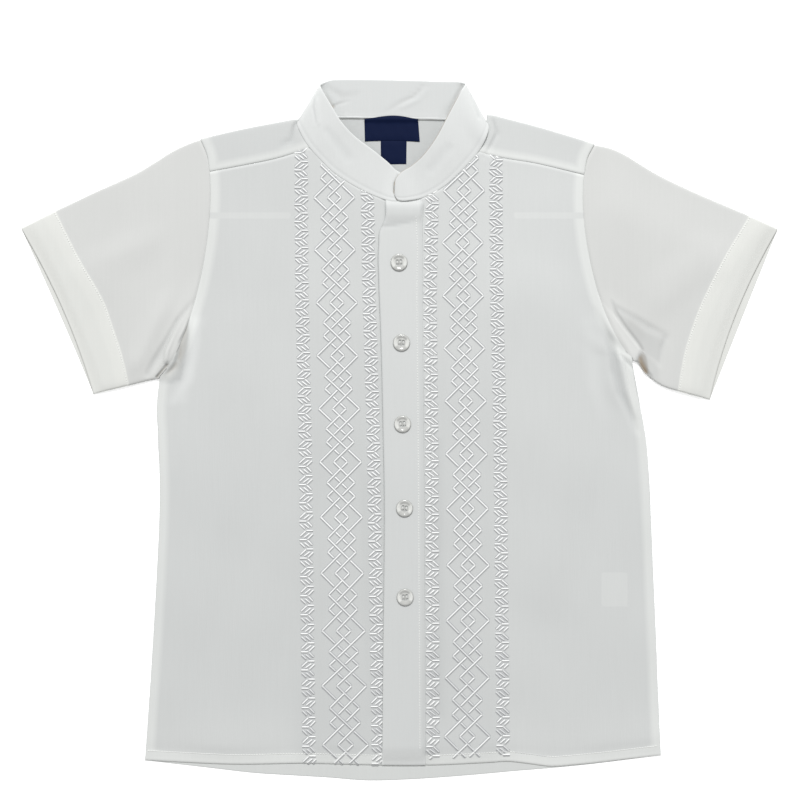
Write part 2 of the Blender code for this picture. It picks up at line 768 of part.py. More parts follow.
def add_collar():
    """The stand collar: a band that runs round the neck opening, lapping left over right in front."""
    cloth = bmesh.new()
    grid = []
    for place in steps(0, len(BAND) - 1, BAND_COUNT):
        row = blend_rows(BAND, place)
        seam = Vector((row.seam_x, row.seam_y, max(BAND_LOWEST, row.seam_z)))
        edge = Vector((row.edge_x, row.edge_y, max(BAND_LOWEST, row.edge_z)))
        grid.append([seam.lerp(edge, share) for share in steps(0, 1, BAND_ROWS)])
    add_patch(cloth, grid)
    add_cloth("collar", cloth, wall=BAND_WALL, middle=True)


def middle_at(diamonds, place):
    """The middle of the embroidery so many repeats down from its first large diamond."""
    first = min(max(int(place), 0), len(diamonds) - 2)
    share = place - first
    start, end = diamonds[first], diamonds[first + 1]
    return lerp(start.x, end.x, share), lerp(start.y, end.y, share)


def place_at(diamonds, y):
    """How many repeats down from its first large diamond the embroidery reaches a height."""
    first = 0
    while first < len(diamonds) - 2 and diamonds[first + 1].y > y:
        first += 1
    start, end = diamonds[first], diamonds[first + 1]
    return first + (start.y - y) / (start.y - end.y)


class Front:
    """A front's upper surface, for the thread that lies on it."""

    def __init__(self, cloth_object, end):
        graph = bpy.context.evaluated_depsgraph_get()
        self.tree = BVHTree.FromObject(cloth_object, graph)
        self.end = end

    def height(self, x, y):
        hit = self.tree.ray_cast(Vector((x, y, 50.0)) * MM, Vector((0.0, 0.0, -1.0)))[0]
        return None if hit is None else hit.z / MM

    def carries(self, x, y):
        if y < read(FRONT_HEM, x) + self.end or placket_right_x(y) - SEAM - THREAD_MARGIN < x < 0:
            return False
        steps_away = (-THREAD_MARGIN, THREAD_MARGIN)
        return all(self.height(x + a, y + b) is not None for a in steps_away for b in steps_away)

    def over(self, x, y):
        """The underside of thread here, clear of the cloth that is just above or below it."""
        found = [self.height(x, y + step) for step in (-THREAD_CLEARS, 0.0, THREAD_CLEARS)]
        return max(height for height in found if height is not None) + SEAM


# The four corners of a crossing, clockwise from the one towards the neck, as shares of its size
COMPASS = ((0, 1), (1, 0), (0, -1), (-1, 0))
NORTH, EAST, SOUTH, WEST = range(4)
FACING = {(1, -1): (NORTH, EAST), (1, 1): (EAST, SOUTH), (-1, 1): (SOUTH, WEST), (-1, -1): (WEST, NORTH)}


def lattice_crossings(rows):
    """The lattice's crossings, each with the ones that a thread joins it to."""
    joined = {}
    for repeat in range(-1, rows):
        for line in LATTICE:
            across = 1 if line.to_u > line.from_u else -1
            for n in range(line.to_v - line.from_v):
                start = (line.from_u + across * n, LATTICE_ROWS * repeat + line.from_v + n)
                end = (start[0] + across, start[1] + 1)
                joined.setdefault(start, set()).add(end)
                joined.setdefault(end, set()).add(start)
    return joined


def largest_net(joined, kept):
    """The largest group of the kept crossings that hang together, with the threads between them."""
    groups = []
    left = set(kept)
    while left:
        group, waiting = set(), [min(left)]
        while waiting:
            crossing = waiting.pop()
            if crossing in left:
                left.remove(crossing)
                group.add(crossing)
                waiting += sorted(joined[crossing] & left)
        groups.append(group)
    group = max(groups, key=len)
    return {crossing: joined[crossing] & group for crossing in sorted(group)}


def add_lattice(name, diamonds, front):
    """A net of thread: a square at each crossing, a strip between two of them, and mitred points."""

    def corner(crossing, compass):
        u, v = crossing
        x, y = middle_at(diamonds, v / LATTICE_ROWS)
        unit_y = y - middle_at(diamonds, (v + 1) / LATTICE_ROWS)[1]
        slant = math.hypot(LATTICE_UNIT, unit_y) * LATTICE_WIDTH / 2
        across, up = COMPASS[compass]
        return x + u * LATTICE_UNIT + across * slant / unit_y, y + up * slant / LATTICE_UNIT

    joined = lattice_crossings(len(diamonds))

    def is_carried(crossing):
        return all(front.carries(*corner(crossing, compass)) for compass in range(4))

    net = largest_net(joined, filter(is_carried, joined))
    cloth = bmesh.new()
    made = {}

    def vert(crossing, compass):
        if (crossing, compass) not in made:
            x, y = corner(crossing, compass)
            made[crossing, compass] = cloth.verts.new(Vector((x, y, front.over(x, y))) * MM)
        return made[crossing, compass]

    def is_point(crossing):
        """Whether two threads meet at a crossing in a point towards the left or the right."""
        sides = {u - crossing[0] for u, v in net[crossing]}
        return len(net[crossing]) == 2 and len(sides) == 1

    def side_towards(crossing, other):
        across, down = other[0] - crossing[0], other[1] - crossing[1]
        if is_point(crossing):
            ends = (EAST, WEST) if down > 0 else (WEST, EAST)
        else:
            ends = FACING[across, down]
        return [vert(crossing, compass) for compass in ends]

    for crossing, others in net.items():
        if not is_point(crossing):
            cloth.faces.new([vert(crossing, compass) for compass in (NORTH, WEST, SOUTH, EAST)])
        for other in sorted(others):
            if other[1] > crossing[1]:
                near, far = side_towards(crossing, other), side_towards(other, crossing)
                cloth.faces.new((near[1], far[0], far[1], near[0]))
    add_cloth(name, cloth, wall=THREAD_WALL, look=THREAD)


def add_chain(name, chain, diamonds, front):
    """A narrow chain of slanted stitches, as one ribbon that goes to and fro between its points."""
    start = place_at(diamonds, chain.start_y)
    xs = (chain.top_x, chain.upper_x, chain.lower_x, chain.bottom_x)
    rows = []
    for n in range(-2 * CHAINS_ABOVE, 2 * CHAINS_BELOW):
        y = middle_at(diamonds, start + 0.5 * n / CHAINS_PER_REPEAT)[1]
        middle = read(list(zip(CHAIN_YS, xs)), y)
        side = -chain.side * (-1) ** n
        point_x = middle + side * CHAIN_POINT
        if chain.side > 0:
            point_x = max(point_x, placket_left_x(y) + SEAM + 2 * THREAD_MARGIN)
        else:
            point_x = min(point_x, placket_right_x(y) - SEAM - 2 * THREAD_MARGIN)
        ends = sorted((point_x, middle + side * CHAIN_NOTCH))
        if all(front.carries(x, y) for x in ends):
            rows.append([(x, y, front.over(x, y)) for x in ends])
    cloth = bmesh.new()
    add_patch(cloth, rows)
    add_cloth(name, cloth, wall=THREAD_WALL, look=THREAD)


def add_embroidery(right_front, left_front):
    """On each front, a lattice of diamonds between two narrow chains."""
    fronts = {
        "right": (RIGHT_DIAMONDS, Front(right_front, RIGHT_END)),
        "left": (LEFT_DIAMONDS, Front(left_front, LEFT_END)),
    }
    for side, (diamonds, front) in fronts.items():
        add_lattice(f"embroidery_{side}_lattice", diamonds, front)
        for chain in CHAINS:
            if chain.name.startswith(side):
                add_chain(f"embroidery_{chain.name}", chain, diamonds, front)


def add_label(name, size, x, top_y):
    """A flat woven label inside the back of the neck."""
    bpy.ops.mesh.primitive_cube_add(size=1)
    made = bpy.context.object
    made.name = name
    width, length = size
    scale = Matrix.Diagonal((width * MM, length * MM, LABEL_WALL * MM, 1.0))
    made.data.transform(scale)
    height = FRONT_UNDER + LABEL_WALL / 2
    made.location = Vector((x, top_y - length / 2, height)) * MM
    corners = made.modifiers.new("edges", "BEVEL")
    corners.width = LABEL_BEVEL * MM
    corners.segments = 1
    made.data.materials.append(material(name, NAVY))
    for other in made.users_collection:
        other.objects.unlink(made)
    SHIRT.objects.link(made)


def button_mesh():
    """One turned button, dished inside its rim, with four holes."""
    outline = bpy.data.meshes.new("button_profile")
    points = [Vector((row.radius, 0.0, row.z)) * MM for row in BUTTON_PROFILE]
    outline.from_pydata(points, [(n, n + 1) for n in range(len(points) - 1)], [])
    turned = bpy.data.objects.new("button_blank", outline)
    CUTTERS.objects.link(turned)
    screw = turned.modifiers.new("turn", "SCREW")
    screw.steps = 16
    screw.render_steps = 16
    screw.use_merge_vertices = True
    screw.merge_threshold = 0.00001
    holes = bmesh.new()
    for n in range(4):
        angle = math.pi / 4 + n * math.pi / 2
        place = Vector((math.cos(angle), math.sin(angle), 0.0)) * BUTTON_HOLE_FROM_CENTRE * MM
        bmesh.ops.create_cone(
            holes,
            cap_ends=True,
            segments=6,
            radius1=BUTTON_HOLE_RADIUS * MM,
            radius2=BUTTON_HOLE_RADIUS * MM,
            depth=BUTTON_CUT_LENGTH * MM,
            matrix=Matrix.Translation(place),
        )
    hole_mesh = bpy.data.meshes.new("button_holes")
    holes.to_mesh(hole_mesh)
    holes.free()
    cutter = bpy.data.objects.new("button_holes", hole_mesh)
    cutter.hide_render = True
    cutter.display_type = "WIRE"
    CUTTERS.objects.link(cutter)
    cut = turned.modifiers.new("holes", "BOOLEAN")
    cut.operation = "DIFFERENCE"
    cut.object = cutter
    graph = bpy.context.evaluated_depsgraph_get()
    mesh = bpy.data.meshes.new_from_object(turned.evaluated_get(graph))
    bpy.data.objects.remove(turned)
    return mesh


def add_buttons():
    mesh = button_mesh()
    for n, spot in enumerate(BUTTONS, 1):
        made = add_object(f"button_{n}", mesh, PEARL)
        height = placket_under(spot.x, spot.y) + PLACKET_WALL + SEAM
        made.location = Vector((spot.x, spot.y, height)) * MM


add_back()
add_yoke()
right_front = add_right_front()
left_front = add_left_front()
add_placket()
add_sleeve("right_sleeve", RIGHT_SLEEVE, -1)
add_sleeve("left_sleeve", LEFT_SLEEVE, 1)
add_collar()
add_label("neck_label", LABEL_SIZE, LABEL_X, LABEL_TOP_Y)
add_label("size_tab", SIZE_TAB_SIZE, SIZE_TAB_X, LABEL_TOP_Y - LABEL_SIZE[1] - SEAM)
add_buttons()
add_embroidery(right_front, left_front)
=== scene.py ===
"""The looks of a child's guayabera shirt that lies flat, front up: cloth, stitching, embroidery and buttons.

The outlines and heights of the cloth come from the frame's nodes. Lengths are in millimetres here,
and MM turns them into Blender's metres. The neck is at +Y, and the wearer's left is at +X.
"""

import json
import math
from collections import namedtuple

import bmesh
import bpy
import numpy as np
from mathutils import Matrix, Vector
from mathutils.bvhtree import BVHTree

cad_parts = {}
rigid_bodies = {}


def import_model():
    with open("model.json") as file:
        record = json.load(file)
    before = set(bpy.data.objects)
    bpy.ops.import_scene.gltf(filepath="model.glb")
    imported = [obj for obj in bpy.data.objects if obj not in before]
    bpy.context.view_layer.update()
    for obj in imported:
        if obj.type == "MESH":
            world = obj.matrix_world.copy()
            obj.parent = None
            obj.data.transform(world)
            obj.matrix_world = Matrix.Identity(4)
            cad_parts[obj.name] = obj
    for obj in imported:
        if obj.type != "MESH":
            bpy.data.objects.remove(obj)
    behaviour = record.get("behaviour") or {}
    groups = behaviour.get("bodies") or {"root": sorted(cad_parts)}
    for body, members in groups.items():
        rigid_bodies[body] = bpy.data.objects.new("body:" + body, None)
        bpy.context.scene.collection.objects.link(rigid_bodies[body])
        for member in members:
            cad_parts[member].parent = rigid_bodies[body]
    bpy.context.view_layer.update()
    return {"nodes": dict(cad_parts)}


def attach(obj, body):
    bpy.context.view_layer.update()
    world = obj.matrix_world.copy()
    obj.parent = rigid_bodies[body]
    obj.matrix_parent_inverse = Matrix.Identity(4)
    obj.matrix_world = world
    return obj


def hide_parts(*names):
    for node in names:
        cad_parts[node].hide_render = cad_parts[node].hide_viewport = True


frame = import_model()

MM = 0.001
BODY = "root"

# The photograph's frame
PIXEL = 0.70
VIEW_CENTRE = (0.35, 21.0)
CAMERA_HEIGHT = 1100.0
SENSOR = 36.0
PICTURE_WIDTH = 800 * PIXEL
FLOOR_REACH = 6000.0

# The cloth
SHEET_WALL = 0.4  # how thick one layer is
BACK_TOP = 0.45  # the top of the layer that lies on the surface
GRID_STEP = 2.0
BACK_STEP = 4.0
RIM_STEPS = (0.0, 0.35, 0.8, 1.4, 2.2, 3.1, 4.1, 5.2, 6.5)  # the mesh is closer at a rolled edge
ROLL_WIDTH = 1.5  # a sewn edge rolls down over this width
ROLL_DEPTH = 0.45
EDGE_ROLL = 0.5
TUCK_REACH = 0.9  # an edge that is sewn under its neighbour goes on this far
TUCK_DEPTH = 1.0
SHADE = 2.2  # a step of tone on the screen is this much of the cloth's colour
SOFT_EDGE = 0.13  # a doubled place's edge is blurred where the cloth over it is smooth
FOLD_WIDTH = 0.9  # an edge that is folded over comes down over this width
ALLOWANCE = 6.3  # cloth is double this far from a seam
YOKE_ALLOWANCE = 4.9
HEM = 7.0
HEM_EDGE_Z = 1.3  # how high a front's hem is at its very edge
HEM_FALL = 14.0  # it comes down to that over this much
HEM_FROM = 22.0  # nearer to its hem than this, a front takes its height from here
HEM_BLEND = 8.0  # that sets in over this much
# HEM_TONE is painted light: a hem slopes down to its edge and turns from the light, and this lightens it
HEM_TONE = 0.05
HEM_STEP = 0.3  # how much a hem stands above the cloth beside it
STITCH_DIP = 0.15  # how far stitching draws the cloth in
RAY_FROM_Z = 80.0
UPRIGHT = 0.2  # a face that leans more than this is an edge
SOFTEN_ROUNDS = 16
OUTLINE_PARTS = 8
UNDERARM_Y = {"right": 36.0, "left": 48.5}
OUTWARD = {"right": -1.0, "left": 1.0}  # the way along x from the middle to each side
# BACK_TONE makes the back darker near its hem, and is painted shade on the yoke's inside in the hollow at the
# back of the neck
BACK_TONE = -0.09
BACK_TONE_REACH = (14.0, 9.0)  # how far from the back's hem this tone starts, and where it is whole
BACK_CORNERS = ((-136, 149.7), (131, 149.7), (183, -227.5), (-178.2, -231))
YOKE_CORNERS = ((-141, 203.4), (138.4, 199.8), (131, 150), (-136, 150))
FLAP_CORNERS = {
    "right": ((-141, 203.4), (-72.6, 217.8), (-62.3, 197), (-133.4, 180.3)),
    "left": ((63.4, 220.9), (138.4, 199.8), (130.6, 178), (54.5, 194.2)),
}
FLAP_TUCK = (0.5, 2.5)  # how deep and how far in it tucks under the collar

# What shows through the fronts: the back's seam, which shows outside two values of x, and the care label
BACK_SEAM_Y, BACK_SEAM_HALF = 149.9, 2.15
BACK_SEAM_FROM_X = (-76.0, 80.0)
CARE_LABEL = (150.1, -111.3)
CARE_LABEL_HALF = (9.1, 11.9)

# The fronts: their corners from the top left, their flat size in metres and their area
FRONTS = {
    "right": (((-133, 180), (14, 159), (14, -234), (-178, -231)), (0.2, 0.43), 0.067),
    "left": (((16, 162), (131, 178), (183, -228), (18.3, -234)), (0.18, 0.41), 0.063),
}
# Painted light: the wearer's left front and yoke are painted lighter, where the light falls more, and the
# right yoke a little darker
FRONT_TONE = {"right": 0.0, "left": 0.012}
FLAP_TONE = {"right": -0.015, "left": 0.02}
BAND_TONES = (-0.05, 0.012)  # between the bands of embroidery, low down and at the top: painted light that falls off down the front
BAND_TONES_Y = (-15.0, 115.0)
BETWEEN_BANDS_X = (80.0, 62.0)  # the plain cloth starts at the first, and the bands' at the second
# Painted: the plain cloth outside the bands is darker low down, as the light falls off down the front
PLAIN_LOW_TONE = -0.025
PLAIN_LOW_FROM_Y, PLAIN_LOW_TO_Y = (30.0, -50.0), (-215.0, -185.0)

# The placket
PLACKET_CORNERS = ((-9.4, 158.8), (14.8, 158.8), (18.2, -234.4), (-12.3, -234.4))
PLACKET_NECK_Y = 138.0  # above this the collar's end draws it aside
PLACKET_TOP_Y = 160.0
# Painted light on the placket: darker low down and lighter at the top, as the light falls off down the front.
# Along its folded left edge there is painted shade high up, turning to painted light low down
PLACKET_TONES, PLACKET_TONES_Y = (-0.05, 0.008), (-120.0, 160.0)
PLACKET_EDGE_TONES, PLACKET_EDGE_TONES_Y = (0.1, -0.07), (-225.0, 20.0)
PLACKET_FOLD = (2.8, 1.6)  # how low its folded edge is, and how wide the turn
PLACKET_SEAM_RISE = 0.35
PLACKET_BEND = 12.0  # an edge that is drawn aside takes this much of the cloth with it
PLACKET_BULGE = 1.5
PLACKET_BULGE_Y = (122.0, 45.0)  # its middle and its half length
PLACKET_STEP = 1.7
PLACKET_TOP_OUT = 2.4
PLACKET_SEAM_REACH = (-0.6, 3.2)
# Painted shade along the placket's sewn right edge, and at its top right under the collar's end
PLACKET_SEAM_TONE, PLACKET_SEAM_TONE_REACH = -0.05, (3.6, 1.0)
PLACKET_TOP_TONE, PLACKET_TOP_TONE_REACH = -0.08, (1.6, 0.6)
PLACKET_TUCK = (0.8, 2.6)

# The sleeves: where the stitching of their hems runs, their corners, and how far their cuffs are drawn in
SLEEVE_STITCHING = {
    "right": (
        (-243, 158), (-239.3, 151.2), (-223.7, 120.4), (-206.5, 90.3), (-199.2, 69.7), (-193.6, 52.5),
        (-187, 24),
    ),
    "left": (
        (247, 156), (243.3, 148.4), (226.5, 120.4), (211.4, 90.3), (204.1, 71.4), (198.5, 52.5),
        (192.6, 18),
    ),
}
SLEEVE_CORNERS = {
    "right": ((-264.5, 141.2), (-141, 203.2), (-170.3, 36), (-213.9, 25.2)),
    "left": ((138.4, 199.6), (264.5, 140.7), (216.9, 21.2), (169.5, 54.5)),
}
CUFF_INSET = {"right": 1.7, "left": 0.6}
CUFF_SPAN = (25.0, 141.0)
CUFF_REACH = 10.0
# CUFF_TONE is painted light near the cuff, where the cloth slopes down to its edge and turns from the light
CUFF_TONE = {"right": 0.03, "left": 0.008}
HEM_BRIGHT = 9.0  # a sleeve's hem is brightest this near to its stitching

# The stitching
STITCH_LENGTH = 1.35
STITCH_PITCH = 1.85
STITCH_WIDTH = 0.45
STITCH_HEIGHT = 0.25
PLACKET_STITCH_INSET = 3.9

# Where the creases run: for each point x, y, half width, height, and the change of the cloth's tone. That
# tone is painted shade in the troughs, pits and pockets, and painted light on the ridges and glows
CREASES = {
    "right_sleeve_valley": (
        (-144.1, 90.0, 2.5, -0.2, 0.0), (-154.8, 75.9, 3.2, -1.3, -0.03), (-162.3, 61.9, 3.8, -1.4, -0.035),
        (-169.6, 49.8, 4.2, -1.4, -0.04), (-175.5, 39.5, 4.0, -0.5, -0.03),
    ),
    "right_sleeve_ridge": (
        (-150.2, 81.2, 2.0, 0.2, 0.0), (-158.2, 65.8, 2.6, 1.0, 0.02), (-162.3, 54.6, 3.0, 1.5, 0.02),
        (-163.0, 48.5, 2.6, 1.3, 0.02),
    ),
    "right_seam_valley": (
        (-146.9, 77.9, 1.2, -0.3, -0.02), (-148.8, 71.2, 2.0, -0.9, -0.03), (-153.0, 60.5, 2.4, -1.2, -0.05),
        (-154.2, 52.5, 2.6, -1.3, -0.055), (-156.9, 44.5, 2.4, -1.2, -0.05),
        (-161.5, 40.0, 2.0, -0.7, -0.03),
    ),
    "right_seam_edge": (
        (-146.9, 79.9, 0.9, 0.2, 0.0), (-150.9, 69.3, 1.1, 0.8, 0.03), (-153.4, 64.0, 1.0, 0.4, 0.0),
    ),
    "right_pit": ((-169.8, 37.0, 1.3, -1.6, -0.12), (-162.3, 45.8, 1.2, -1.0, -0.1)),
    "right_patch": (
        (-148.0, 70.0, 3.2, 0.0, -0.015), (-150.9, 56.0, 4.2, -0.3, -0.02), (-155.5, 43.4, 5.0, -0.4, -0.02),
        (-163.0, 38.5, 4.2, -0.2, -0.025),
    ),
    "right_glow": (
        (-141.0, 95.0, 5.0, 0.0, 0.0), (-142.5, 63.0, 6.0, 0.3, 0.035), (-147.0, 34.0, 6.0, 0.3, 0.03),
        (-159.0, 22.0, 6.0, 0.0, 0.02),
    ),
    "left_trough": (
        (136.4, 83.3, 4.0, -0.3, 0.0), (140.4, 75.9, 4.4, -0.9, -0.02), (146.5, 63.1, 4.8, -1.7, -0.07),
        (149.5, 51.1, 4.8, -2.0, -0.06), (150.5, 41.1, 4.6, -2.0, -0.06), (154.4, 25.7, 4.2, -1.8, -0.05),
        (160.0, 13.6, 3.8, -1.2, -0.03), (166.0, -1.1, 3.0, -0.3, 0.0),
    ),
    "left_ridge": (
        (152.0, 56.0, 2.2, 0.3, 0.0), (154.0, 50.0, 2.6, 1.3, 0.03), (156.4, 41.3, 3.0, 1.3, 0.02),
        (160.0, 27.0, 2.8, 0.9, 0.01), (165.0, 10.0, 2.4, 0.3, 0.0),
    ),
    "left_pit": (
        (153.6, 53.4, 1.2, -0.4, -0.02), (159.8, 47.2, 1.6, -1.3, -0.07), (163.4, 43.4, 1.6, -1.2, -0.07),
    ),
    "left_glow": (
        (131.0, 72.0, 9.0, 0.2, 0.01), (136.0, 30.0, 9.0, 0.3, 0.025), (148.0, -4.0, 9.0, 0.0, 0.0),
    ),
    "left_sleeve_seam": (
        (148.5, 89.3, 1.6, -0.4, -0.02), (151.8, 80.5, 2.6, -1.4, -0.06), (157.9, 71.4, 2.2, -1.3, -0.03),
        (166.5, 60.5, 1.8, -1.0, -0.02), (169.8, 56.0, 1.6, -0.8, -0.05),
    ),
    "left_sleeve_upper": (
        (153.2, 84.7, 2.5, -0.5, 0.0), (166.5, 76.6, 3.5, -0.7, -0.02), (174.7, 71.4, 4.0, -0.8, -0.02),
        (186.6, 65.8, 3.5, -0.3, -0.02),
    ),
    "left_sleeve_outer": (
        (186.0, 64.0, 2.5, -0.4, -0.02), (183.4, 58.0, 3.0, -0.6, -0.02), (181.5, 46.0, 3.0, -0.3, 0.0),
    ),
    "left_sleeve_patch": ((162.0, 74.0, 7.0, 0.0, -0.02), (176.0, 60.0, 9.0, 0.0, -0.008)),
    "left_pocket": (
        (169.0, 55.5, 1.6, -0.5, -0.05), (168.0, 51.0, 2.6, -0.8, -0.09), (169.6, 46.0, 3.0, -1.0, -0.12),
        (172.0, 41.2, 2.6, -0.9, -0.12), (176.0, 37.5, 1.8, -0.4, -0.05),
    ),
    "right_shoulder": (
        (-71.2, 217.0, 1.4, -0.4, -0.03), (-73.9, 212.0, 1.8, -0.9, -0.05), (-76.0, 202.5, 2.2, -0.9, -0.05),
        (-82.0, 199.5, 3.0, -0.2, -0.02),
    ),
    "left_shoulder": (
        (65.5, 216.5, 1.5, -0.3, -0.02), (68.0, 207.5, 1.8, -0.9, -0.04), (63.5, 198.5, 1.6, -0.9, -0.04),
        (58.5, 189.5, 1.5, -0.2, 0.0),
    ),
}

# Places where the cloth is painted darker or lighter as a whole: how soft the edge is, tone, the points round
# it. The darker ones are mostly painted shade, the lighter ones painted light
PATCHES = (
    # Painted shade on the -X body beside the armhole seam, and in the hollow under the -X underarm
    (
        1.0, -0.075, (-146.8, 79), (-147.2, 66), (-148.2, 56), (-149.5, 51), (-152.9, 47.7), (-154.8, 49),
        (-152.9, 60.5),
    ),
    (
        0.9, -0.055, (-150.2, 49), (-150.8, 44), (-152.4, 35.5), (-159.5, 33), (-169.6, 33.7), (-170.2, 36),
        (-162.9, 45.8),
    ),
    # Painted light on the -X body beside the underarm fold
    (3.5, 0.03, (-146, 78), (-137, 78), (-140, 55), (-149, 20), (-160, 18), (-152, 34), (-148, 52)),
    # Painted light beside the +X armhole seam, then painted shade on the +X sleeve's upper side and at its
    # underarm
    (1.2, 0.04, (138.5, 94), (145, 86), (149.5, 82), (155, 73), (162, 64), (170, 55), (164, 49), (152, 70)),
    (
        1.2, -0.035, (148.5, 91), (158.5, 82.6), (169, 74.5), (180, 68), (186, 66), (183, 58), (181.6, 47.6),
        (170.4, 54.6),
    ),
    (2.0, -0.012, (148, 88), (152, 85), (164, 75.5), (171, 66), (168, 57), (160, 68)),
    (2.0, -0.03, (170, 54), (175, 50), (181, 43), (181, 36), (174, 38)),
    # The cloth beside the placket, darker low on the fronts
    (3.0, -0.022, (19, -5), (30, -5), (31, -200), (20, -200)),
    (3.0, -0.01, (-27, -30), (-13, -30), (-12, -200), (-22, -200)),
    # Painted shadow at the collar's outer corner, on the +X yoke
    (0.8, -0.05, (56.5, 221), (61, 220), (61, 213), (58, 213)),
    # More painted shade under the -X underarm, and in the +X underarm's pocket
    (
        1.3, -0.02, (-148, 77), (-146, 63), (-149, 50), (-152, 33), (-170, 33), (-170.4, 37), (-162.5, 45.6),
        (-156.6, 52),
    ),
    (0.9, -0.13, (165.4, 50), (169.9, 54.4), (172, 52.4), (173.2, 47), (174, 42), (172.8, 37), (169, 41)),
    # Painted light on the +X sleeve's top and on the upper +X front, where the light falls more
    (12.0, 0.02, (140, 198), (258, 142), (228, 118), (140, 160)),
    (22.0, 0.02, (58, 190), (128, 178), (112, 100), (60, 95)),
)

# Long soft waves of cloth that isn't quite flat: wavelengths along x and y, phase, height
WAVES = (
    (96.0, 410.0, 0.6, 0.22), (61.0, -260.0, 2.1, 0.14), (140.0, 88.0, 4.0, 0.16), (-47.0, 120.0, 1.2, 0.07),
    (33.0, 300.0, 5.1, 0.04),
)

# The collar band's sections, from its right end round the neck to its left end: seam x, y, z and edge x, y, z
BAND = (
    (7.5, 161.2, 3.4, 6.5, 177.0, 3.6), (-3.9, 160.0, 3.4, -1.8, 180.4, 3.8),
    (-13.7, 162.6, 3.4, -8.1, 186.2, 4.6), (-27.7, 168.9, 3.4, -17.9, 194.0, 5.6),
    (-44.5, 179.4, 3.4, -32.0, 204.6, 6.8), (-57.0, 191.4, 3.5, -41.0, 214.4, 7.6),
    (-64.6, 200.5, 3.7, -48.4, 226.4, 7.6), (-69.6, 209.5, 3.9, -54.6, 237.2, 6.6),
    (-71.2, 214.8, 2.5, -55.4, 240.6, 4.2), (-66.0, 217.4, 0.9, -51.0, 243.4, 1.4),
    (-43.0, 218.4, 0.8, -43.0, 244.6, 0.8), (-5.0, 218.0, 0.8, -8.0, 244.4, 0.8),
    (34.0, 217.1, 0.8, 33.0, 243.2, 0.8), (56.0, 216.8, 0.9, 42.0, 243.0, 1.4),
    (61.6, 213.0, 2.5, 46.0, 241.0, 4.2), (60.6, 205.6, 3.9, 42.6, 234.8, 6.6),
    (54.5, 194.4, 3.7, 35.0, 220.6, 7.6), (41.0, 179.4, 4.1, 25.6, 203.0, 7.4),
    (29.4, 169.6, 4.8, 16.4, 190.6, 6.8), (16.5, 162.8, 5.4, 8.6, 183.8, 6.2),
    (5.0, 160.4, 5.5, 1.6, 179.4, 6.1), (-1.1, 161.0, 5.5, -2.6, 174.6, 6.0),
    (-3.3, 164.4, 5.6, -3.6, 170.0, 5.9),
)
BAND_WALL = 1.2
BAND_PARTS = 16  # stations between two sections
BAND_ROWS = 30
BAND_TURN = 4  # steps round an edge
BAND_LOWEST = 0.65
# BACK_BAND_TONE is painted shade on the collar's inside at the back, in the hollow of the neck
BACK_BAND_TONE = -0.11
RIGHT_EDGE_TONE = -0.45  # the left end's upper edge turns away from the light
SEAM_LIFT = 0.05
END_FROM = 19.4  # from this section on the left end lies on the right one
END_SEAM_Z = 4.3

NeckSeam = namedtuple("NeckSeam", "from_x to_x y fall z half_width height")
NECK_SEAM = NeckSeam(from_x=-46.0, to_x=34.0, y=218.9, fall=0.016, z=0.9, half_width=0.65, height=0.75)
BAND_BACK_FROM, BAND_BACK_TO = 8.5, 13.6  # the sections of the collar whose inside shows
BACK_TONE_FROM, BACK_TONE_TO = (8.6, 9.2), (13.6, 13.0)
RIGHT_EDGE_FROM = (14.6, 15.4)
END_GAP_TO = 5
BAND_STITCHED = (-0.2, -0.022)  # the height and tone of its stitching
BAND_UNDER_Z = 0.06

# The creases and changes of tone at the placket's top, on the collar's inside at the back, and on its
# outside. The tone is painted shade in folds, corners and the gap at the collar's end, and painted light on
# ridges
PLACKET_CREASES = {
    # Painted shade on the lit top of the placket's bulge, painted light on its shaded turn, and painted shade
    # in its fold
    "bright_top": ((-12.0, 155.5, 4.5, 0.0, -0.035), (18.0, 155.5, 4.5, 0.0, -0.035)),
    "dark_turn": ((-12.0, 150.0, 2.5, 0.0, 0.02), (18.0, 150.0, 2.5, 0.0, 0.02)),
    "fold": (
        (-13.0, 142.3, 2.2, -0.3, -0.15), (-3.0, 143.6, 2.6, -0.3, -0.16), (5.0, 145.0, 2.2, -0.2, -0.11),
        (12.0, 147.5, 1.6, 0.0, 0.0),
    ),
}
BACK_BAND_CREASES = {
    "left_corner": (
        (-55.0, 240.0, 2.8, 0.0, 0.0), (-51.5, 233.5, 3.0, -0.3, -0.035), (-46.5, 225.5, 2.2, -0.4, -0.11),
    ),
    # Painted shade on the inside of the collar's back band
    "soft_shade": (
        (-49.0, 239.0, 3.5, -0.2, -0.02), (-40.0, 233.5, 4.5, -0.3, -0.028),
        (-30.0, 235.0, 4.0, -0.1, -0.01),
    ),
    "short": (
        (-46.8, 226.2, 1.4, -0.5, -0.05), (-42.0, 228.5, 1.5, -0.5, -0.035),
        (-36.5, 230.0, 1.8, -0.2, -0.01),
    ),
    "diagonal": (
        (-9.5, 222.6, 1.8, -0.2, -0.01), (0.5, 229.0, 1.8, -0.5, -0.03), (9.0, 233.0, 1.6, -0.6, -0.04),
        (13.0, 237.0, 1.6, -0.5, -0.035), (15.5, 241.0, 1.6, -0.3, -0.02),
    ),
    "diagonal_ridge": (
        (2.0, 225.5, 2.2, 0.3, 0.006), (12.0, 230.5, 2.4, 0.5, 0.01), (18.0, 237.5, 2.2, 0.3, 0.006),
    ),
    "right_corner": (
        (43.8, 241.5, 2.0, -0.2, -0.04), (40.0, 233.5, 2.6, -0.4, -0.05), (35.0, 223.5, 2.6, -0.4, -0.05),
        (33.0, 219.0, 2.2, -0.3, -0.04),
    ),
    "lower": ((-40.0, 220.8, 1.6, 0.0, 0.008), (28.0, 221.0, 1.6, 0.0, 0.008)),
}
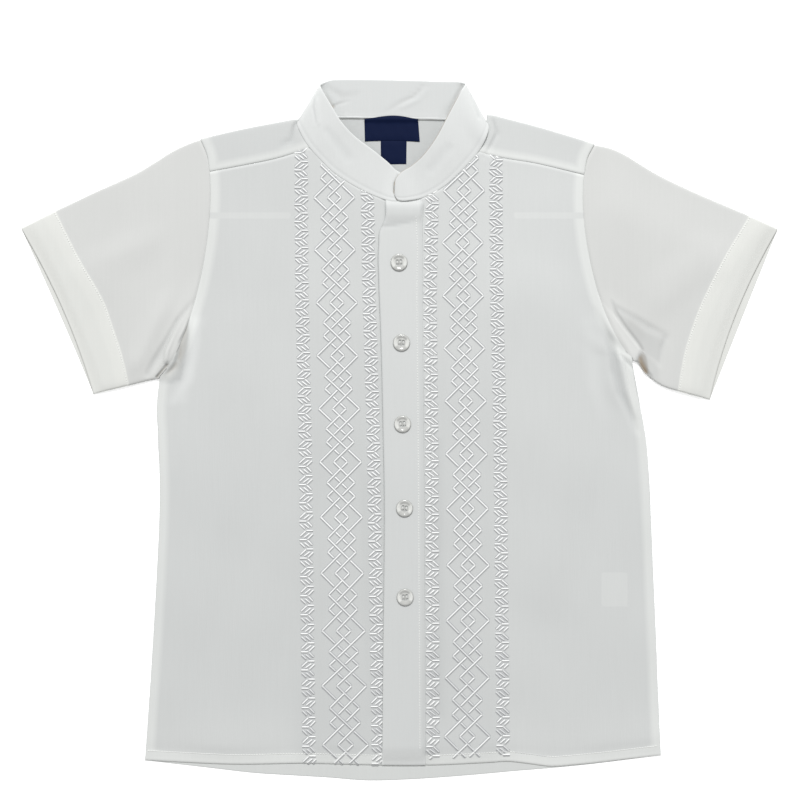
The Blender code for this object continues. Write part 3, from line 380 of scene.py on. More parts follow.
FRONT_BAND_CREASES = {
    "left_fold": (
        (-58.8, 232.0, 1.0, -0.2, -0.02), (-60.0, 224.5, 1.3, -0.7, -0.045),
        (-58.2, 214.0, 1.3, -0.3, -0.02),
    ),
    "left_light": ((-56.5, 230.0, 1.8, 0.3, 0.008), (-56.0, 214.0, 2.4, 0.3, 0.008)),
    "left_hollow": ((-50.0, 208.0, 5.0, -0.3, -0.008), (-36.0, 190.0, 6.0, -0.3, -0.01)),
    "right_fold": ((49.5, 234.0, 1.5, -0.2, -0.012), (55.0, 218.0, 2.0, -0.4, -0.02)),
    "right_soft": ((22.0, 182.0, 6.0, -0.3, -0.01), (34.0, 196.0, 6.0, -0.3, -0.008)),
}
# Painted shadow in the gap where the collar's left end lies over its right end
END_GAP = {
    "gap": (
        (-1.4, 177.6, 0.7, -0.2, -0.12), (-3.6, 172.0, 1.2, -0.3, -0.22), (-3.9, 166.0, 1.2, -0.3, -0.22),
        (-1.6, 160.4, 1.1, -0.3, -0.2),
    ),
}
BAND_STITCH_SHARE = 0.1
BAND_STITCH_WIDTH = 0.022

# The embroidery: the middles of the large diamonds, and both ends of each stroke of one repeat, in eighths
DIAMONDS = {
    "right": (
        (-45.5, 162.4), (-45.2, 126.0), (-43.8, 88.9), (-43.4, 51.8), (-42.1, 14.7), (-41.2, -22.4),
        (-40.6, -60.9), (-40.0, -100.1), (-39.1, -140.4), (-38.7, -178.8), (-37.7, -219.8),
    ),
    "left": (
        (45.0, 167.3), (44.0, 130.9), (44.5, 93.8), (45.3, 57.1), (46.2, 20.3), (46.8, -16.8), (47.3, -55.0),
        (47.9, -94.5), (47.7, -133.0), (47.3, -172.9), (47.3, -214.2),
    ),
}
LATTICE_UNITS = ((-220.0, 5.3), (-130.0, 4.95), (20.0, 4.75), (165.0, 4.7))  # y, and an eighth's width
LATTICE = (
    (-3.0, 0.0, -1.16, 1.84), (-0.84, 2.16, -0.1, 2.9), (-1.0, 0.0, 1.0, 2.0), (1.18, 2.18, 2.0, 3.0),
    (1.0, 0.0, 0.14, 0.86), (0.0, 1.0, -2.0, 3.0), (3.0, 0.0, -0.88, 3.88), (-1.16, 4.16, -2.0, 5.0),
    (-2.0, 3.0, 1.0, 6.0), (1.18, 6.18, 3.0, 8.0), (0.16, 3.16, 0.86, 3.86), (1.16, 4.16, 2.0, 5.0),
    (2.0, 3.0, 0.18, 4.82), (-0.16, 5.16, -3.0, 8.0), (-2.0, 5.0, -1.16, 5.84), (-0.84, 6.16, -0.14, 6.86),
    (2.0, 5.0, -1.0, 8.0), (0.16, 7.16, 1.0, 8.0),
)

# One repeat of a narrow chain on the wearer's right, down from its upper bar: both ends of each stroke
CHAIN = (
    (0.0, 0.0, 4.9, 0.0), (-0.3, 0.3, -4.4, 3.9), (2.4, 1.7, -1.8, 4.7), (4.7, 2.1, 0.8, 5.7),
    (-4.9, 6.0, 0.4, 6.0), (0.9, 6.4, 4.2, 9.6), (-4.2, 8.0, -0.8, 11.1), (-1.4, 7.8, 2.2, 10.6),
)
CHAIN_REPEAT = 12.1
# Each chain: its repeats for one large diamond, the y of one of its bars, and its middle's x at CHAIN_YS
CHAINS = (
    ("right_outer", 3.032, 103.0, (-68.7, -68.2, -66.0, -63.2)),
    ("right_inner", 3.081, 99.1, (-22.4, -21.3, -18.4, -14.8)),
    ("left_inner", 3.077, 92.4, (22.8, 21.3, 22.5, 23.5)),
    ("left_outer", 3.122, 100.5, (67.5, 68.0, 70.3, 72.5)),
)
CHAIN_YS = (160.0, 95.0, 0.0, -228.0)  # the heights of the four places along each chain
THREAD_WIDTH = 0.98
THREAD_HEIGHT = 0.55
THREAD_STEP = 1.6
STROKE_SHADE = 0.45  # painted shade: low on the fronts, the strokes that fall to the right are greyer, as the light catches them less
STROKE_SHADE_FROM_Y, STROKE_SHADE_TO_Y = -60.0, -190.0
THREAD_LIFT = 0.05
EMBROIDERY_END = {"right": 0.3, "left": 4.5}  # how far above the hem it ends

# Across a stroke: offsets in half widths, heights, and its shade: 0 is thread, 1 the painted shadow in the
# dip beside it, 2 cloth
EMBROIDERY_PROFILE = (
    (-2.7, -0.04, 2.0), (-1.8, -0.02, 1.0), (-1.2, 0.0, 1.0), (-0.95, 0.5, 0.0), (-0.5, 0.9, 0.0),
    (0.0, 1.0, 0.0), (0.5, 0.9, 0.0), (0.95, 0.5, 0.0), (1.2, 0.0, 1.0), (1.8, -0.02, 1.0),
    (2.7, -0.04, 2.0),
)
STITCH_PROFILE = ((-1.0, -0.2, 0.0), (-0.7, 0.7, 0.0), (0.0, 1.0, 0.0), (0.7, 0.7, 0.0), (1.0, -0.2, 0.0))

# The buttons' places, and a button's section from its well round its rim to its underside: radius, height
BUTTONS = ((-0.3, 116.9), (1.4, 60.9), (2.1, 4.2), (3.5, -54.6), (3.9, -116.6))
BUTTON_PROFILE = (
    (2.6, 1.4), (3.4, 1.5), (3.9, 1.75), (4.3, 2.0), (4.8, 2.15), (5.4, 2.0), (5.85, 1.5), (5.95, 1.0),
    (5.6, 0.5), (4.6, 0.1), (3.5, 0.0),
)
BUTTON_SIDES = 96
BUTTON_HOLE_RADIUS = 0.85
BUTTON_HOLE_FROM_CENTRE = 1.77
HOLE_REACH = BUTTON_HOLE_FROM_CENTRE / math.sqrt(2)  # how far a hole's middle is from the button's, across
BUTTON_LIFT = -0.15
BUTTON_HEIGHT = 0.6
# Painted light and shade on a button: light in its well, shade in its holes, at its rim and on its ring's top
# and bottom, and painted glints on its ring's sides
WELL_TONE = 0.08
HOLE_TONE = -0.25
RIM_TONE = -0.3
RING_TONE = -0.12
WELL_TO, RING_FROM, RING_TO, RIM_FROM = (3.7, 3.2), (2.9, 3.6), (5.5, 5.0), (5.45, 5.75)  # radii
GLINT_TONE = 0.35

# The labels at the back of the neck: the piece, the node, its height, its upper edge and its lower edge
LABELS = (
    (
        "neck", "neck_label", 0.95,
        ((-24.6, 217.4), (-4.0, 219.8), (13.0, 217.3)), ((-24.2, 201.9), (-5.0, 202.4), (14.2, 201.6)),
    ),
    (
        "size", "size_tab", 0.75,
        ((-13.2, 203.0), (-4.0, 203.2), (5.0, 203.0)), ((-13.0, 186.1), (-4.0, 185.9), (4.8, 186.0)),
    ),
)
LABEL_STEP = 0.8
LABEL_PILLOW = 0.25
LABEL_RISE, LABEL_RISE_Y = 1.25, (214.5, 217.3)  # its top is sewn over the collar's seam

# A camera or light that is there already is taken away
for old in list(bpy.data.objects):
    if old.type in ("CAMERA", "LIGHT"):
        bpy.data.objects.remove(old, do_unlink=True)


# Small sums

def lerp(a, b, share):
    return a + (b - a) * share


def smooth_step(low, high, value):
    share = np.clip((value - low) / (high - low), 0.0, 1.0)
    return share * share * (3 - 2 * share)


def hump(middle, width, value):
    """A bell that is 1 at its middle."""
    return np.exp(-(((value - middle) / width) ** 2))


def near(away, reach):
    """1 at an edge, evenly less further in, and 0 from the reach on."""
    return np.clip(1 - away / reach, 0.0, 1.0)


def through(rows, parts):
    """Points on a smooth curve through the rows, so many for each stretch between two."""
    rows = np.array(rows, float)
    steps = np.maximum(np.linalg.norm(np.diff(rows, axis=0), axis=1, keepdims=True), 1e-9)
    around = np.concatenate([rows[:1], rows, rows[-1:]])
    beside_steps = np.pad(steps[:, 0], 1)
    slopes = (around[2:] - around[:-2]) / (beside_steps[1:] + beside_steps[:-1])[:, None]
    t = np.arange(parts)[None, :, None] / parts
    leaving, coming = (slopes[:-1] * steps)[:, None], (slopes[1:] * steps)[:, None]
    made = lerp(rows[:-1, None], rows[1:, None], t * t * (3 - 2 * t))
    made = made + t * (1 - t) * ((1 - t) * leaving - t * coming)
    return np.concatenate([made.reshape(-1, rows.shape[1]), rows[-1:]])


def lengths_along(points):
    steps = np.linalg.norm(np.diff(points, axis=0), axis=1)
    return np.concatenate([[0.0], np.cumsum(steps)])


def read_line(points, shares):
    """The points at these shares of a line's length."""
    along = lengths_along(points)
    at = np.asarray(shares) * along[-1]
    return np.stack([np.interp(at, along, points[:, n]) for n in range(points.shape[1])], axis=-1)


def distance_to(points, line):
    """How far each of an array of points is from a line, in plan."""
    flat = points.reshape(-1, 2)
    nearest = np.full(len(flat), 1e9)
    for start, end in zip(line[:-1], line[1:]):
        along = end - start
        size = max(float(along @ along), 1e-12)
        share = np.clip((flat - start) @ along / size, 0.0, 1.0)
        away = flat - start - share[:, None] * along
        nearest = np.minimum(nearest, np.einsum("ij,ij->i", away, away))
    return np.sqrt(nearest).reshape(points.shape[:-1])


def beside(line, distance):
    """A line in plan moved to its left by a distance."""
    along = np.gradient(line, axis=0)
    along /= np.maximum(np.linalg.norm(along, axis=1, keepdims=True), 1e-9)
    return line + distance * np.stack([-along[:, 1], along[:, 0]], axis=1)


# Reading the frame

def faces_of(node, facing):
    """The faces of a node that look up, or down, as points and triangles."""
    mesh = frame["nodes"][node].data
    mesh.calc_loop_triangles()
    points = np.array([vert.co for vert in mesh.vertices]) / MM
    triangles = np.array([triangle.vertices for triangle in mesh.loop_triangles])
    points, index = np.unique(points.round(2), axis=0, return_inverse=True)
    triangles = index.reshape(-1)[triangles]
    a, b, c = (points[triangles[:, n]] for n in range(3))
    normal = np.cross(b - a, c - a)
    size = np.linalg.norm(normal, axis=1)
    level = normal[:, 2] * facing / np.maximum(size, 1e-9)
    return points, triangles[(size > 1e-6) & (level > UPRIGHT)]


def joined_groups(triangles):
    """The triangles in groups that join along edges."""
    leader = list(range(len(triangles)))

    def first_of(n):
        while leader[n] != n:
            leader[n] = leader[leader[n]]
            n = leader[n]
        return n

    by_edge = {}
    for n, (a, b, c) in enumerate(triangles.tolist()):
        for edge in ((a, b), (b, c), (c, a)):
            leader[first_of(n)] = first_of(by_edge.setdefault(frozenset(edge), n))
    leaders = np.array([first_of(n) for n in range(len(triangles))])
    return [triangles[leaders == n] for n in np.unique(leaders)]


def outline_loops(triangles):
    """The rings of points round a set of triangles."""
    edges = set()
    for a, b, c in triangles.tolist():
        edges.update(((a, b), (b, c), (c, a)))
    after = {a: b for a, b in sorted(edges) if (b, a) not in edges}
    loops = []
    while after:
        start = next(iter(after))
        at = after.pop(start)
        loop = [start]
        while at != start and at in after:
            loop.append(at)
            at = after.pop(at)
        loops.append(loop)
    return loops


Sides = namedtuple("Sides", "left right top bottom")


def sides_of(points, loop, corners):
    """An outline cut at its points nearest to four corners, each of the four sides made smooth."""
    ring = points[loop][:, :2]
    after = np.roll(ring, -1, axis=0)
    if np.sum(ring[:, 0] * after[:, 1] - after[:, 0] * ring[:, 1]) < 0:
        ring = ring[::-1]
    cuts = [int(np.argmin(np.linalg.norm(ring - corner, axis=1))) for corner in corners]

    def stretch(first, last):
        count = (cuts[last] - cuts[first]) % len(ring)
        return through(ring[(cuts[first] + np.arange(count + 1)) % len(ring)], OUTLINE_PARTS)

    return Sides(left=stretch(0, 3), right=stretch(2, 1)[::-1], top=stretch(1, 0)[::-1], bottom=stretch(3, 2))


def edge_shares(length, step):
    """Shares of a length, close together at its two ends."""
    rim = np.array(RIM_STEPS)
    count = max(2, round((length - 2 * rim[-1]) / step) + 1)
    inner = np.linspace(rim[-1], length - rim[-1], count)
    return np.concatenate([rim[:-1], inner, length - rim[:-1][::-1]]) / length


def fill_between(sides, step):
    """A grid of points in plan over a four-sided outline."""
    lengths = [lengths_along(line)[-1] for line in sides]
    down, across = edge_shares(max(lengths[:2]), step), edge_shares(max(lengths[2:]), step)
    left, right = (read_line(line, down)[:, None] for line in sides[:2])
    top, bottom = (read_line(line, across)[None] for line in sides[2:])
    u, v = across[None, :, None], down[:, None, None]
    corners = lerp(lerp(top[:, :1], top[:, -1:], u), lerp(bottom[:, :1], bottom[:, -1:], u), v)
    return lerp(top, bottom, v) + lerp(left, right, u) - corners


def tree_of(points, faces):
    return BVHTree.FromPolygons([tuple(p) for p in points], faces.tolist())


def drop_on(tree, x, y):
    """Where a line straight down meets a surface, or None."""
    return tree.ray_cast(Vector((x, y, RAY_FROM_Z)), Vector((0.0, 0.0, -1.0)))[0]


def height_on(tree, plan):
    """The height of a surface under each point of a plan, or of its nearest point past its edge."""
    hits = [drop_on(tree, x, y) or tree.find_nearest(Vector((x, y, 2.0)))[0] for x, y in plan.reshape(-1, 2)]
    return np.array([hit.z for hit in hits]).reshape(plan.shape[:-1])


def soften(heights, rounds=SOFTEN_ROUNDS):
    for _ in range(rounds):
        p = np.pad(heights, 1, mode="edge")
        beside_sum = p[:-2, 1:-1] + p[2:, 1:-1] + p[1:-1, :-2] + p[1:-1, 2:]
        heights = (beside_sum + 4 * heights) / 8
    return heights


Panel = namedtuple("Panel", "sides plan away heights")


def read_panel(node, corners, facing=1, step=GRID_STEP, rounds=SOFTEN_ROUNDS):
    """A cloth panel of a node: its sides, its grid in plan, how far that is from each side, its heights."""
    points, triangles = faces_of(node, facing)
    corners = np.array(corners, float)

    def apart(group):
        """How far a group's outline is from the four corners. Of two layers, the outer one is nearer."""
        used = points[np.unique(group)]
        away = [np.linalg.norm(used[:, :2] - corner, axis=1).min() for corner in corners]
        return sum(away) - 3.0 * facing * used[:, 2].mean()

    triangles = min(joined_groups(triangles), key=apart)
    loop = max(outline_loops(triangles), key=len)
    sides = sides_of(points, loop, corners)
    plan = fill_between(sides, step)
    away = Sides(*(distance_to(plan, line) for line in sides))
    heights = soften(height_on(tree_of(points, triangles), plan), rounds)
    return Panel(sides, plan, away, heights)


def read_under_layer(node, corners):
    """The panel of a node's layer that lies on the surface."""
    return read_panel(node, corners, facing=-1, step=BACK_STEP, rounds=0)


# The cloth's own form

def crease_fields(plan, creases):
    """The creases' height and tone at each point of a plan. Each crease is a line through its points. The
    tone is painted shade and painted light.
    """
    total = np.zeros((2, *plan.shape[:-1]))
    for rows in creases.values():
        made = np.zeros_like(total)
        strongest = np.zeros(plan.shape[:-1])
        for first, last in zip(np.array(rows), np.array(rows)[1:]):
            along, here = last[:2] - first[:2], plan - first[:2]
            share = np.clip(here @ along / (along @ along), 0.0, 1.0)
            half_width, *values = (lerp(a, b, share) for a, b in zip(first[2:], last[2:]))
            away = np.linalg.norm(here - share[..., None] * along, axis=-1) / half_width
            profile = np.cos(np.minimum(away, 1) * math.pi / 2) ** 2
            made = np.where(profile > strongest, np.stack(values) * profile, made)
            strongest = np.maximum(profile, strongest)
        total += made
    return total


def inside_ring(plan, ring):
    """How far each point of a plan is inside a ring of points. It is negative outside."""
    x, y = plan[..., 0], plan[..., 1]
    within = np.zeros(plan.shape[:-1], bool)
    ring = np.array(ring, float)
    for a, b in zip(ring, np.roll(ring, -1, axis=0)):
        between = (a[1] > y) != (b[1] > y)
        rise = b[1] - a[1] if b[1] != a[1] else 1e-9
        within ^= between & (x < a[0] + (y - a[1]) * (b[0] - a[0]) / rise)
    away = distance_to(plan, np.concatenate([ring, ring[:1]]))
    return np.where(within, away, -away)


def cloth_fields(plan):
    """The height of the creases at each point of a plan, and the cloth's tone there: painted shade and
    painted light from the creases and the patches.
    """
    heights, tones = crease_fields(plan, CREASES)
    for soft, tone, *ring in PATCHES:
        tones += tone * smooth_step(-soft, soft, inside_ring(plan, ring))
    return heights, SHADE * tones


def wave_height(plan):
    total = np.zeros(plan.shape[:-1])
    for length_x, length_y, phase, height in WAVES:
        total += height * np.sin(2 * math.pi * (plan[..., 0] / length_x + plan[..., 1] / length_y) + phase)
    return total


def roll_down(heights, away, depth=ROLL_DEPTH):
    """A sewn edge: the cloth rolls down a little as it comes to the seam."""
    return heights - depth * near(away, ROLL_WIDTH) ** 2


def tuck(plan, heights, away, outward, depth=TUCK_DEPTH, reach=TUCK_REACH):
    """A sewn edge that goes on under its neighbour's: the points moved out, and lower."""
    share = near(away, ROLL_WIDTH) ** 2
    return plan + reach * share[..., None] * np.array(outward), heights - depth * share


def far_from_underarm(plan, underarm_y):
    """0 near the underarm, where the armhole's two edges lie level, and 1 well above it."""
    return smooth_step(underarm_y + 20.0, underarm_y + 50.0, plan[..., 1])


def fold_down(heights, away, low=BACK_TOP, width=FOLD_WIDTH):
    """A folded edge: the cloth comes down to the layer under it in a round turn."""
    return low + (heights - low) * np.sqrt(1 - near(away, width) ** 2)


def hem_up(heights, away, depth):
    """A hem stands above the cloth beside it, and its stitching draws it in a little."""
    stitched = STITCH_DIP * hump(depth - 1.0, 0.7, away)
    return heights + HEM_STEP * smooth_step(depth + 0.5, depth - 0.5, away) - stitched


def hem_down(heights, away, edge_z):
    """The cloth comes down to its height at the very edge of the hem."""
    return lerp(edge_z, heights, smooth_step(0.0, HEM_FALL, away.bottom))


# Painted light on the slope of a hem, which turns from the light
def hem_tone(away):
    return HEM_TONE * smooth_step(HEM_FALL, 0.4 * HEM_FALL, away.bottom)


# Meshes

Sheet = namedtuple("Sheet", "grid double under tone")
BLANK = -9.0  # a distance that is well outside a doubled place


def sheet_of(plan, heights, double=BLANK, under=BLANK, tone=0.0):
    """A grid of points, with how far inside a doubled place each one is, and how its tone changes."""
    grid = np.concatenate([plan, np.broadcast_to(heights, plan.shape[:-1])[..., None]], axis=-1)
    return Sheet(grid, *(np.broadcast_to(field, plan.shape[:-1]) for field in (double, under, tone)))


def grid_faces(rows, columns, first=0, closed=False):
    index = np.arange(rows * columns).reshape(rows, columns) + first
    if closed:
        index = np.concatenate([index, index[:, :1]], axis=1)
    return np.stack([index[:-1, :-1], index[1:, :-1], index[1:, 1:], index[:-1, 1:]], -1).reshape(-1, 4)


def tube_faces(stations, around):
    """The faces of a closed tube: its sides and its two ends."""
    ends = np.arange(stations * around).reshape(stations, around)
    return [*grid_faces(stations, around, closed=True).tolist(), ends[0].tolist(), ends[-1][::-1].tolist()]


def recalculate_normals(mesh):
    work = bmesh.new()
    work.from_mesh(mesh)
    bmesh.ops.recalc_face_normals(work, faces=work.faces)
    work.to_mesh(mesh)
    work.free()


def add_object(name, data):
    made = bpy.data.objects.new(name, data)
    bpy.context.scene.collection.objects.link(made)
    return made


def add_mesh(name, points, faces, material):
    """An object from points in millimetres and faces."""
    mesh = bpy.data.meshes.new(name)
    mesh.from_pydata(np.asarray(points) * MM, [], faces if isinstance(faces, list) else faces.tolist())
    mesh.materials.append(material)
    mesh.shade_smooth()
    return add_object(name, mesh)


def add_field(mesh, name, values):
    field = mesh.attributes.new(name, "FLOAT", "POINT")
    field.data.foreach_set("value", np.asarray(values, np.float32).reshape(-1))


def finish_piece(made, node_names=()):
    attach(made, BODY)
    if node_names:
        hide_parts(*node_names)
    return made


def add_piece(name, points, faces, material, slot, node_names=(), **fields):
    """A piece from points and faces, with any fields of one number a point."""
    made = add_mesh(name, points, faces, material)
    for field, values in fields.items():
        add_field(made.data, field, values)
    return finish_piece(made, node_names)


def join_sheets(sheets):
    points, faces = [], []
    count = 0
    for sheet in sheets:
        rows, columns = sheet.grid.shape[:2]
        faces.append(grid_faces(rows, columns, count))
        points.append(sheet.grid.reshape(-1, 3))
        count += rows * columns
    return np.concatenate(points), np.concatenate(faces)


def ground_of(*sheets):
    """Sheets as a surface for other pieces to lie on."""
    return tree_of(*join_sheets(sheets))


def cloth_object(name, sheets, material, node_names, slot="cloth", wall=SHEET_WALL):
    """One piece of cloth made of one or more grids."""
    fields = {
        field: np.concatenate([getattr(sheet, field).reshape(-1) for sheet in sheets])
        for field in ("double", "under", "tone")
    }
    made = add_piece(name, *join_sheets(sheets), material, slot, node_names, **fields)
    thickness = made.modifiers.new("thickness", "SOLIDIFY")
    thickness.thickness = wall * MM
    thickness.offset = -1.0
    return made


def single_cloth(tone):
    """The fields of cloth that is nowhere doubled, from its tone at each point."""
    blank = np.full(tone.size, BLANK)
    return {"double": blank, "under": blank, "tone": tone}


# Materials

def from_screen(red, green, blue):
    """A colour as it looks on a screen, 0 to 255, as the shader's own numbers."""
    return (*(((value / 255 + 0.055) / 1.055) ** 2.4 for value in (red, green, blue)), 1.0)


class Shader:
    """A new material, with short ways to add nodes to its shader."""

    def __init__(self, name, colour, roughness, more):
        self.material = bpy.data.materials.new(name)
        self.material.use_nodes = True
        self.tree = self.material.node_tree
        self.inputs = self.tree.nodes["Principled BSDF"].inputs
        for key, value in {"Base Color": colour, "Roughness": roughness, **more}.items():
            self.inputs[key].default_value = value

    def add(self, kind, inputs, output=0, **settings):
        """A node with its inputs, each a value or another node's output. Returns one of its outputs."""
        made = self.tree.nodes.new("ShaderNode" + kind)
        for name, value in settings.items():
            setattr(made, name, value)
        for key, value in inputs.items():
            if isinstance(value, bpy.types.NodeSocket):
                self.tree.links.new(value, made.inputs[key])
            else:
                made.inputs[key].default_value = value
        return made.outputs[output]

    def plus(self, first, *others):
        for other in others:
            first = self.add("Math", {0: first, 1: other}, operation="ADD")
        return first

    def times(self, a, b):
        return self.add("Math", {0: a, 1: b}, operation="MULTIPLY")

    def clamped(self, value, more=0.0):
        return self.add("Math", {0: value, 1: more}, operation="ADD", use_clamp=True)

    def place(self, stretch=(1.0, 1.0, 1.0)):
        """The place on the object in millimetres, stretched along its axes."""
        scale = tuple(value / MM for value in stretch)
        place = self.add("TexCoord", {}, output=3)
        return self.add("VectorMath", {0: place, 1: scale}, operation="MULTIPLY")

    def noise(self, size, detail, stretch=(1.0, 1.0, 1.0)):
        return self.add("TexNoise", {"Vector": self.place(stretch), "Scale": 1 / size, "Detail": detail})

    def field(self, name):
        return self.add("Attribute", {}, output=2, attribute_name=name)

    def mask(self, name, soft):
        """1 where a field is over zero, 0 elsewhere, with a soft edge in millimetres."""
        return self.add("MapRange", {"Value": self.field(name), "From Min": -soft, "From Max": soft})

    def mix(self, share, a, b, blend="MIX"):
        return self.add("Mix", {0: share, 6: a, 7: b}, output=2, data_type="RGBA", blend_type=blend)

    def shaded(self, colour, red, green, blue):
        """A colour multiplied by a shade."""
        return self.mix(1.0, colour, self.add("CombineColor", {0: red, 1: green, 2: blue}), "MULTIPLY")

    def weave(self, thread, depth):
        """The height of a plain weave of raised threads."""
        place = {"Vector": self.place(), "Scale": 0.314 / thread}
        waves = [self.add("TexWave", place, output=1, bands_direction=axis) for axis in ("X", "Y")]
        return self.times(self.plus(*waves), 0.5 * depth)

    def finish(self, colour, height=None):
        """The material with this colour, and this height in millimetres as bump."""
        self.tree.links.new(colour, self.inputs["Base Color"])
        if height is not None:
            bump = self.add("Bump", {"Height": height, "Strength": 1.0, "Distance": MM})
            self.tree.links.new(bump, self.inputs["Normal"])
        return self.material


def cloth_material(name, single, double):
    """White cotton cloth, lighter where it is double, with uneven warp threads. Its tone field is mostly
    painted shade and painted light, and the deepest painted shade turns warmer.
    """
    single, double = from_screen(*single), from_screen(*double)
    looks = {"Specular IOR Level": 0.2, "Sheen Weight": 0.08, "Sheen Roughness": 0.5}
    made = Shader(name, single, 0.85, looks)
    colour = made.mix(made.mask("double", 0.25), single, double)
    colour = made.mix(made.mask("under", 0.4), colour, made.mix(0.35, single, double))
    warp = made.plus(made.noise(1.4, 2.0, (1.0, 0.04, 1.0)), -0.5)
    cloud = made.plus(made.noise(38.0, 2.0), -0.5)
    tone = made.field("tone")
    level = made.plus(made.times(warp, 0.035), made.times(cloud, 0.03), tone, 1.0)
    # The painted shade's depth, which turns it warmer
    dark = made.clamped(made.times(tone, -1.0))
    warmth = made.times(dark, made.plus(made.times(dark, 0.45), -0.07))
    blue = made.plus(level, made.times(warmth, -1.0))
    slub = made.times(made.noise(0.9, 3.0, (1.0, 0.1, 1.0)), 0.05)
    height = made.plus(made.weave(0.32, 0.02), slub)
    return made.finish(made.shaded(colour, made.plus(level, warmth), level, blue), height)


def thread_material(name, colour, roughness, twist):
    """Glossy thread, its strands lying side by side along a stroke. Its shade field paints it greyer, and
    paints the shadow beside it.
    """
    colour = from_screen(*colour)
    made = Shader(name, colour, roughness, {"Sheen Weight": 0.15, "Specular IOR Level": 0.4})
    turn = made.times(made.field("along"), 2 * math.pi / twist)
    strands = made.add("Math", {0: turn}, operation="SINE")
    colour = made.mix(made.noise(6.0, 2.0), colour, (*(value * 0.95 for value in colour[:3]), 1.0))
    shade = made.field("shade")
    # Painted shadow in the dip beside a stroke, fading to the cloth's own colour past it
    colour = made.mix(made.clamped(shade), colour, from_screen(176, 178, 180))
    colour = made.mix(made.clamped(shade, -1.0), colour, from_screen(205, 207, 207))
    return made.finish(colour, made.times(strands, 0.012))


def label_material():
    """Woven satin, navy, with a fine weft."""
    deep, lit = from_screen(0, 14, 48), from_screen(3, 24, 62)
    made = Shader("navy_satin", deep, 0.7, {"Specular IOR Level": 0.15})
    flecks = made.noise(0.9, 4.0, (1.0, 2.5, 1.0))
    return made.finish(made.mix(flecks, deep, lit), made.weave(0.4, 0.03))


def pearl_material():
    """Pale resin with a pearly cloud in it. Its tone field paints it darker at its rim and in its holes and
    lighter in its well, with painted glints at the sides of its ring.
    """
    looks = {"IOR": 1.53, "Transmission Weight": 0.15, "Coat Weight": 0.2, "Coat Roughness": 0.08}
    made = Shader("pearly_resin", from_screen(232, 233, 229), 0.16, looks)
    cloud = made.noise(2.6, 3.0, (1.0, 1.8, 1.0))
    colour = made.mix(cloud, from_screen(208, 209, 205), from_screen(224, 225, 222))
    level = made.plus(made.field("tone"), 1.0)
    return made.finish(made.shaded(colour, level, level, level), made.times(cloud, 0.03))


def floor_material():
    """A pale studio floor, lit from below as well as above, so that it looks plain white."""
    pale, paler = (0.9, 0.9, 0.9, 1.0), (0.94, 0.94, 0.94, 1.0)
    glow = {"Emission Color": (1.0, 1.0, 1.0, 1.0), "Emission Strength": 0.45}
    made = Shader("pale_floor", pale, 0.9, {"Specular IOR Level": 0.0, **glow})
    return made.finish(made.mix(made.noise(60.0, 2.0), pale, paler))


BODY_CLOTH = cloth_material("body_cloth", (211, 213, 212), (224, 226, 224))
SLEEVE_CLOTH = cloth_material("sleeve_cloth", (215, 216, 214), (228, 229, 225))
FACED_CLOTH = cloth_material("faced_cloth", (216, 218, 217), (226, 228, 226))
COLLAR_CLOTH = cloth_material("collar_cloth", (228, 230, 229), (230, 231, 230))
THREAD = thread_material("embroidery_thread", (250, 251, 250), 0.5, 0.45)
SEWING = thread_material("sewing_thread", (245, 246, 243), 0.6, 0.6)
NAVY = label_material()
PEARL = pearl_material()


# Panels

def under_body(plan):
    """How far inside the places where a lower seam or a label shows through a front."""
    x, y = plan[..., 0], plan[..., 1]
    beyond = np.where(x < 0, BACK_SEAM_FROM_X[0] - x, x - BACK_SEAM_FROM_X[1])
    seam = np.minimum(BACK_SEAM_HALF - np.abs(y - BACK_SEAM_Y), beyond)
    care_label = (CARE_LABEL_HALF - np.abs(plan - CARE_LABEL)).min(axis=-1)
    return np.maximum(seam, care_label)


def make_front(side, corners, flat, area):
    """A front: sewn at the yoke, the neck and the armhole, folded at the side, hemmed at the bottom."""
    name = side + "_front"
    panel = read_panel(name, corners)
    plan, away, underarm_y = panel.plan, panel.away, UNDERARM_Y[side]
    arm = away.left if side == "right" else away.right
    y = plan[..., 1]
    creases, tone = cloth_fields(plan)
    above_hem = panel.heights[np.argmax(away.bottom.min(axis=1) < HEM_FROM)]
    heights = lerp(above_hem, panel.heights, smooth_step(HEM_FROM - HEM_BLEND, HEM_FROM, away.bottom))
    heights = hem_up(heights + creases + wave_height(plan), away.bottom, HEM)
    heights = hem_down(heights, away, HEM_EDGE_Z)
    heights = roll_down(heights, arm, ROLL_DEPTH * far_from_underarm(plan, underarm_y))
    heights = roll_down(heights, away.bottom, EDGE_ROLL)
    heights = fold_down(heights, np.where(y > underarm_y, 99.0, arm))
    double = np.maximum(SOFT_EDGE * (ALLOWANCE - arm), HEM - away.bottom)
    between_bands = smooth_step(*BETWEEN_BANDS_X, np.abs(plan[..., 0]))
    low = smooth_step(*PLAIN_LOW_FROM_Y, y) * smooth_step(*PLAIN_LOW_TO_Y, y)
    # Painted light and shade: the creases' and patches' tone, the left front lighter, the hem's slope
    # lighter, and the fall of light down the front
    tone = tone + FRONT_TONE[side] + hem_tone(away) + PLAIN_LOW_TONE * (1 - between_bands) * low
    tone = tone + between_bands * lerp(*BAND_TONES, smooth_step(*BAND_TONES_Y, y))
    plan, heights = tuck(plan, heights, away.top, (0.0, 1.0))
    if side == "left":
        plan, heights = tuck(plan, heights, away.left, (-1.0, 0.0), 0.35)
    sheet = sheet_of(plan, heights, double, under_body(plan), tone)
    made = cloth_object("cloth_" + name, [sheet], BODY_CLOTH, [name])
    return panel.sides.bottom, sheet


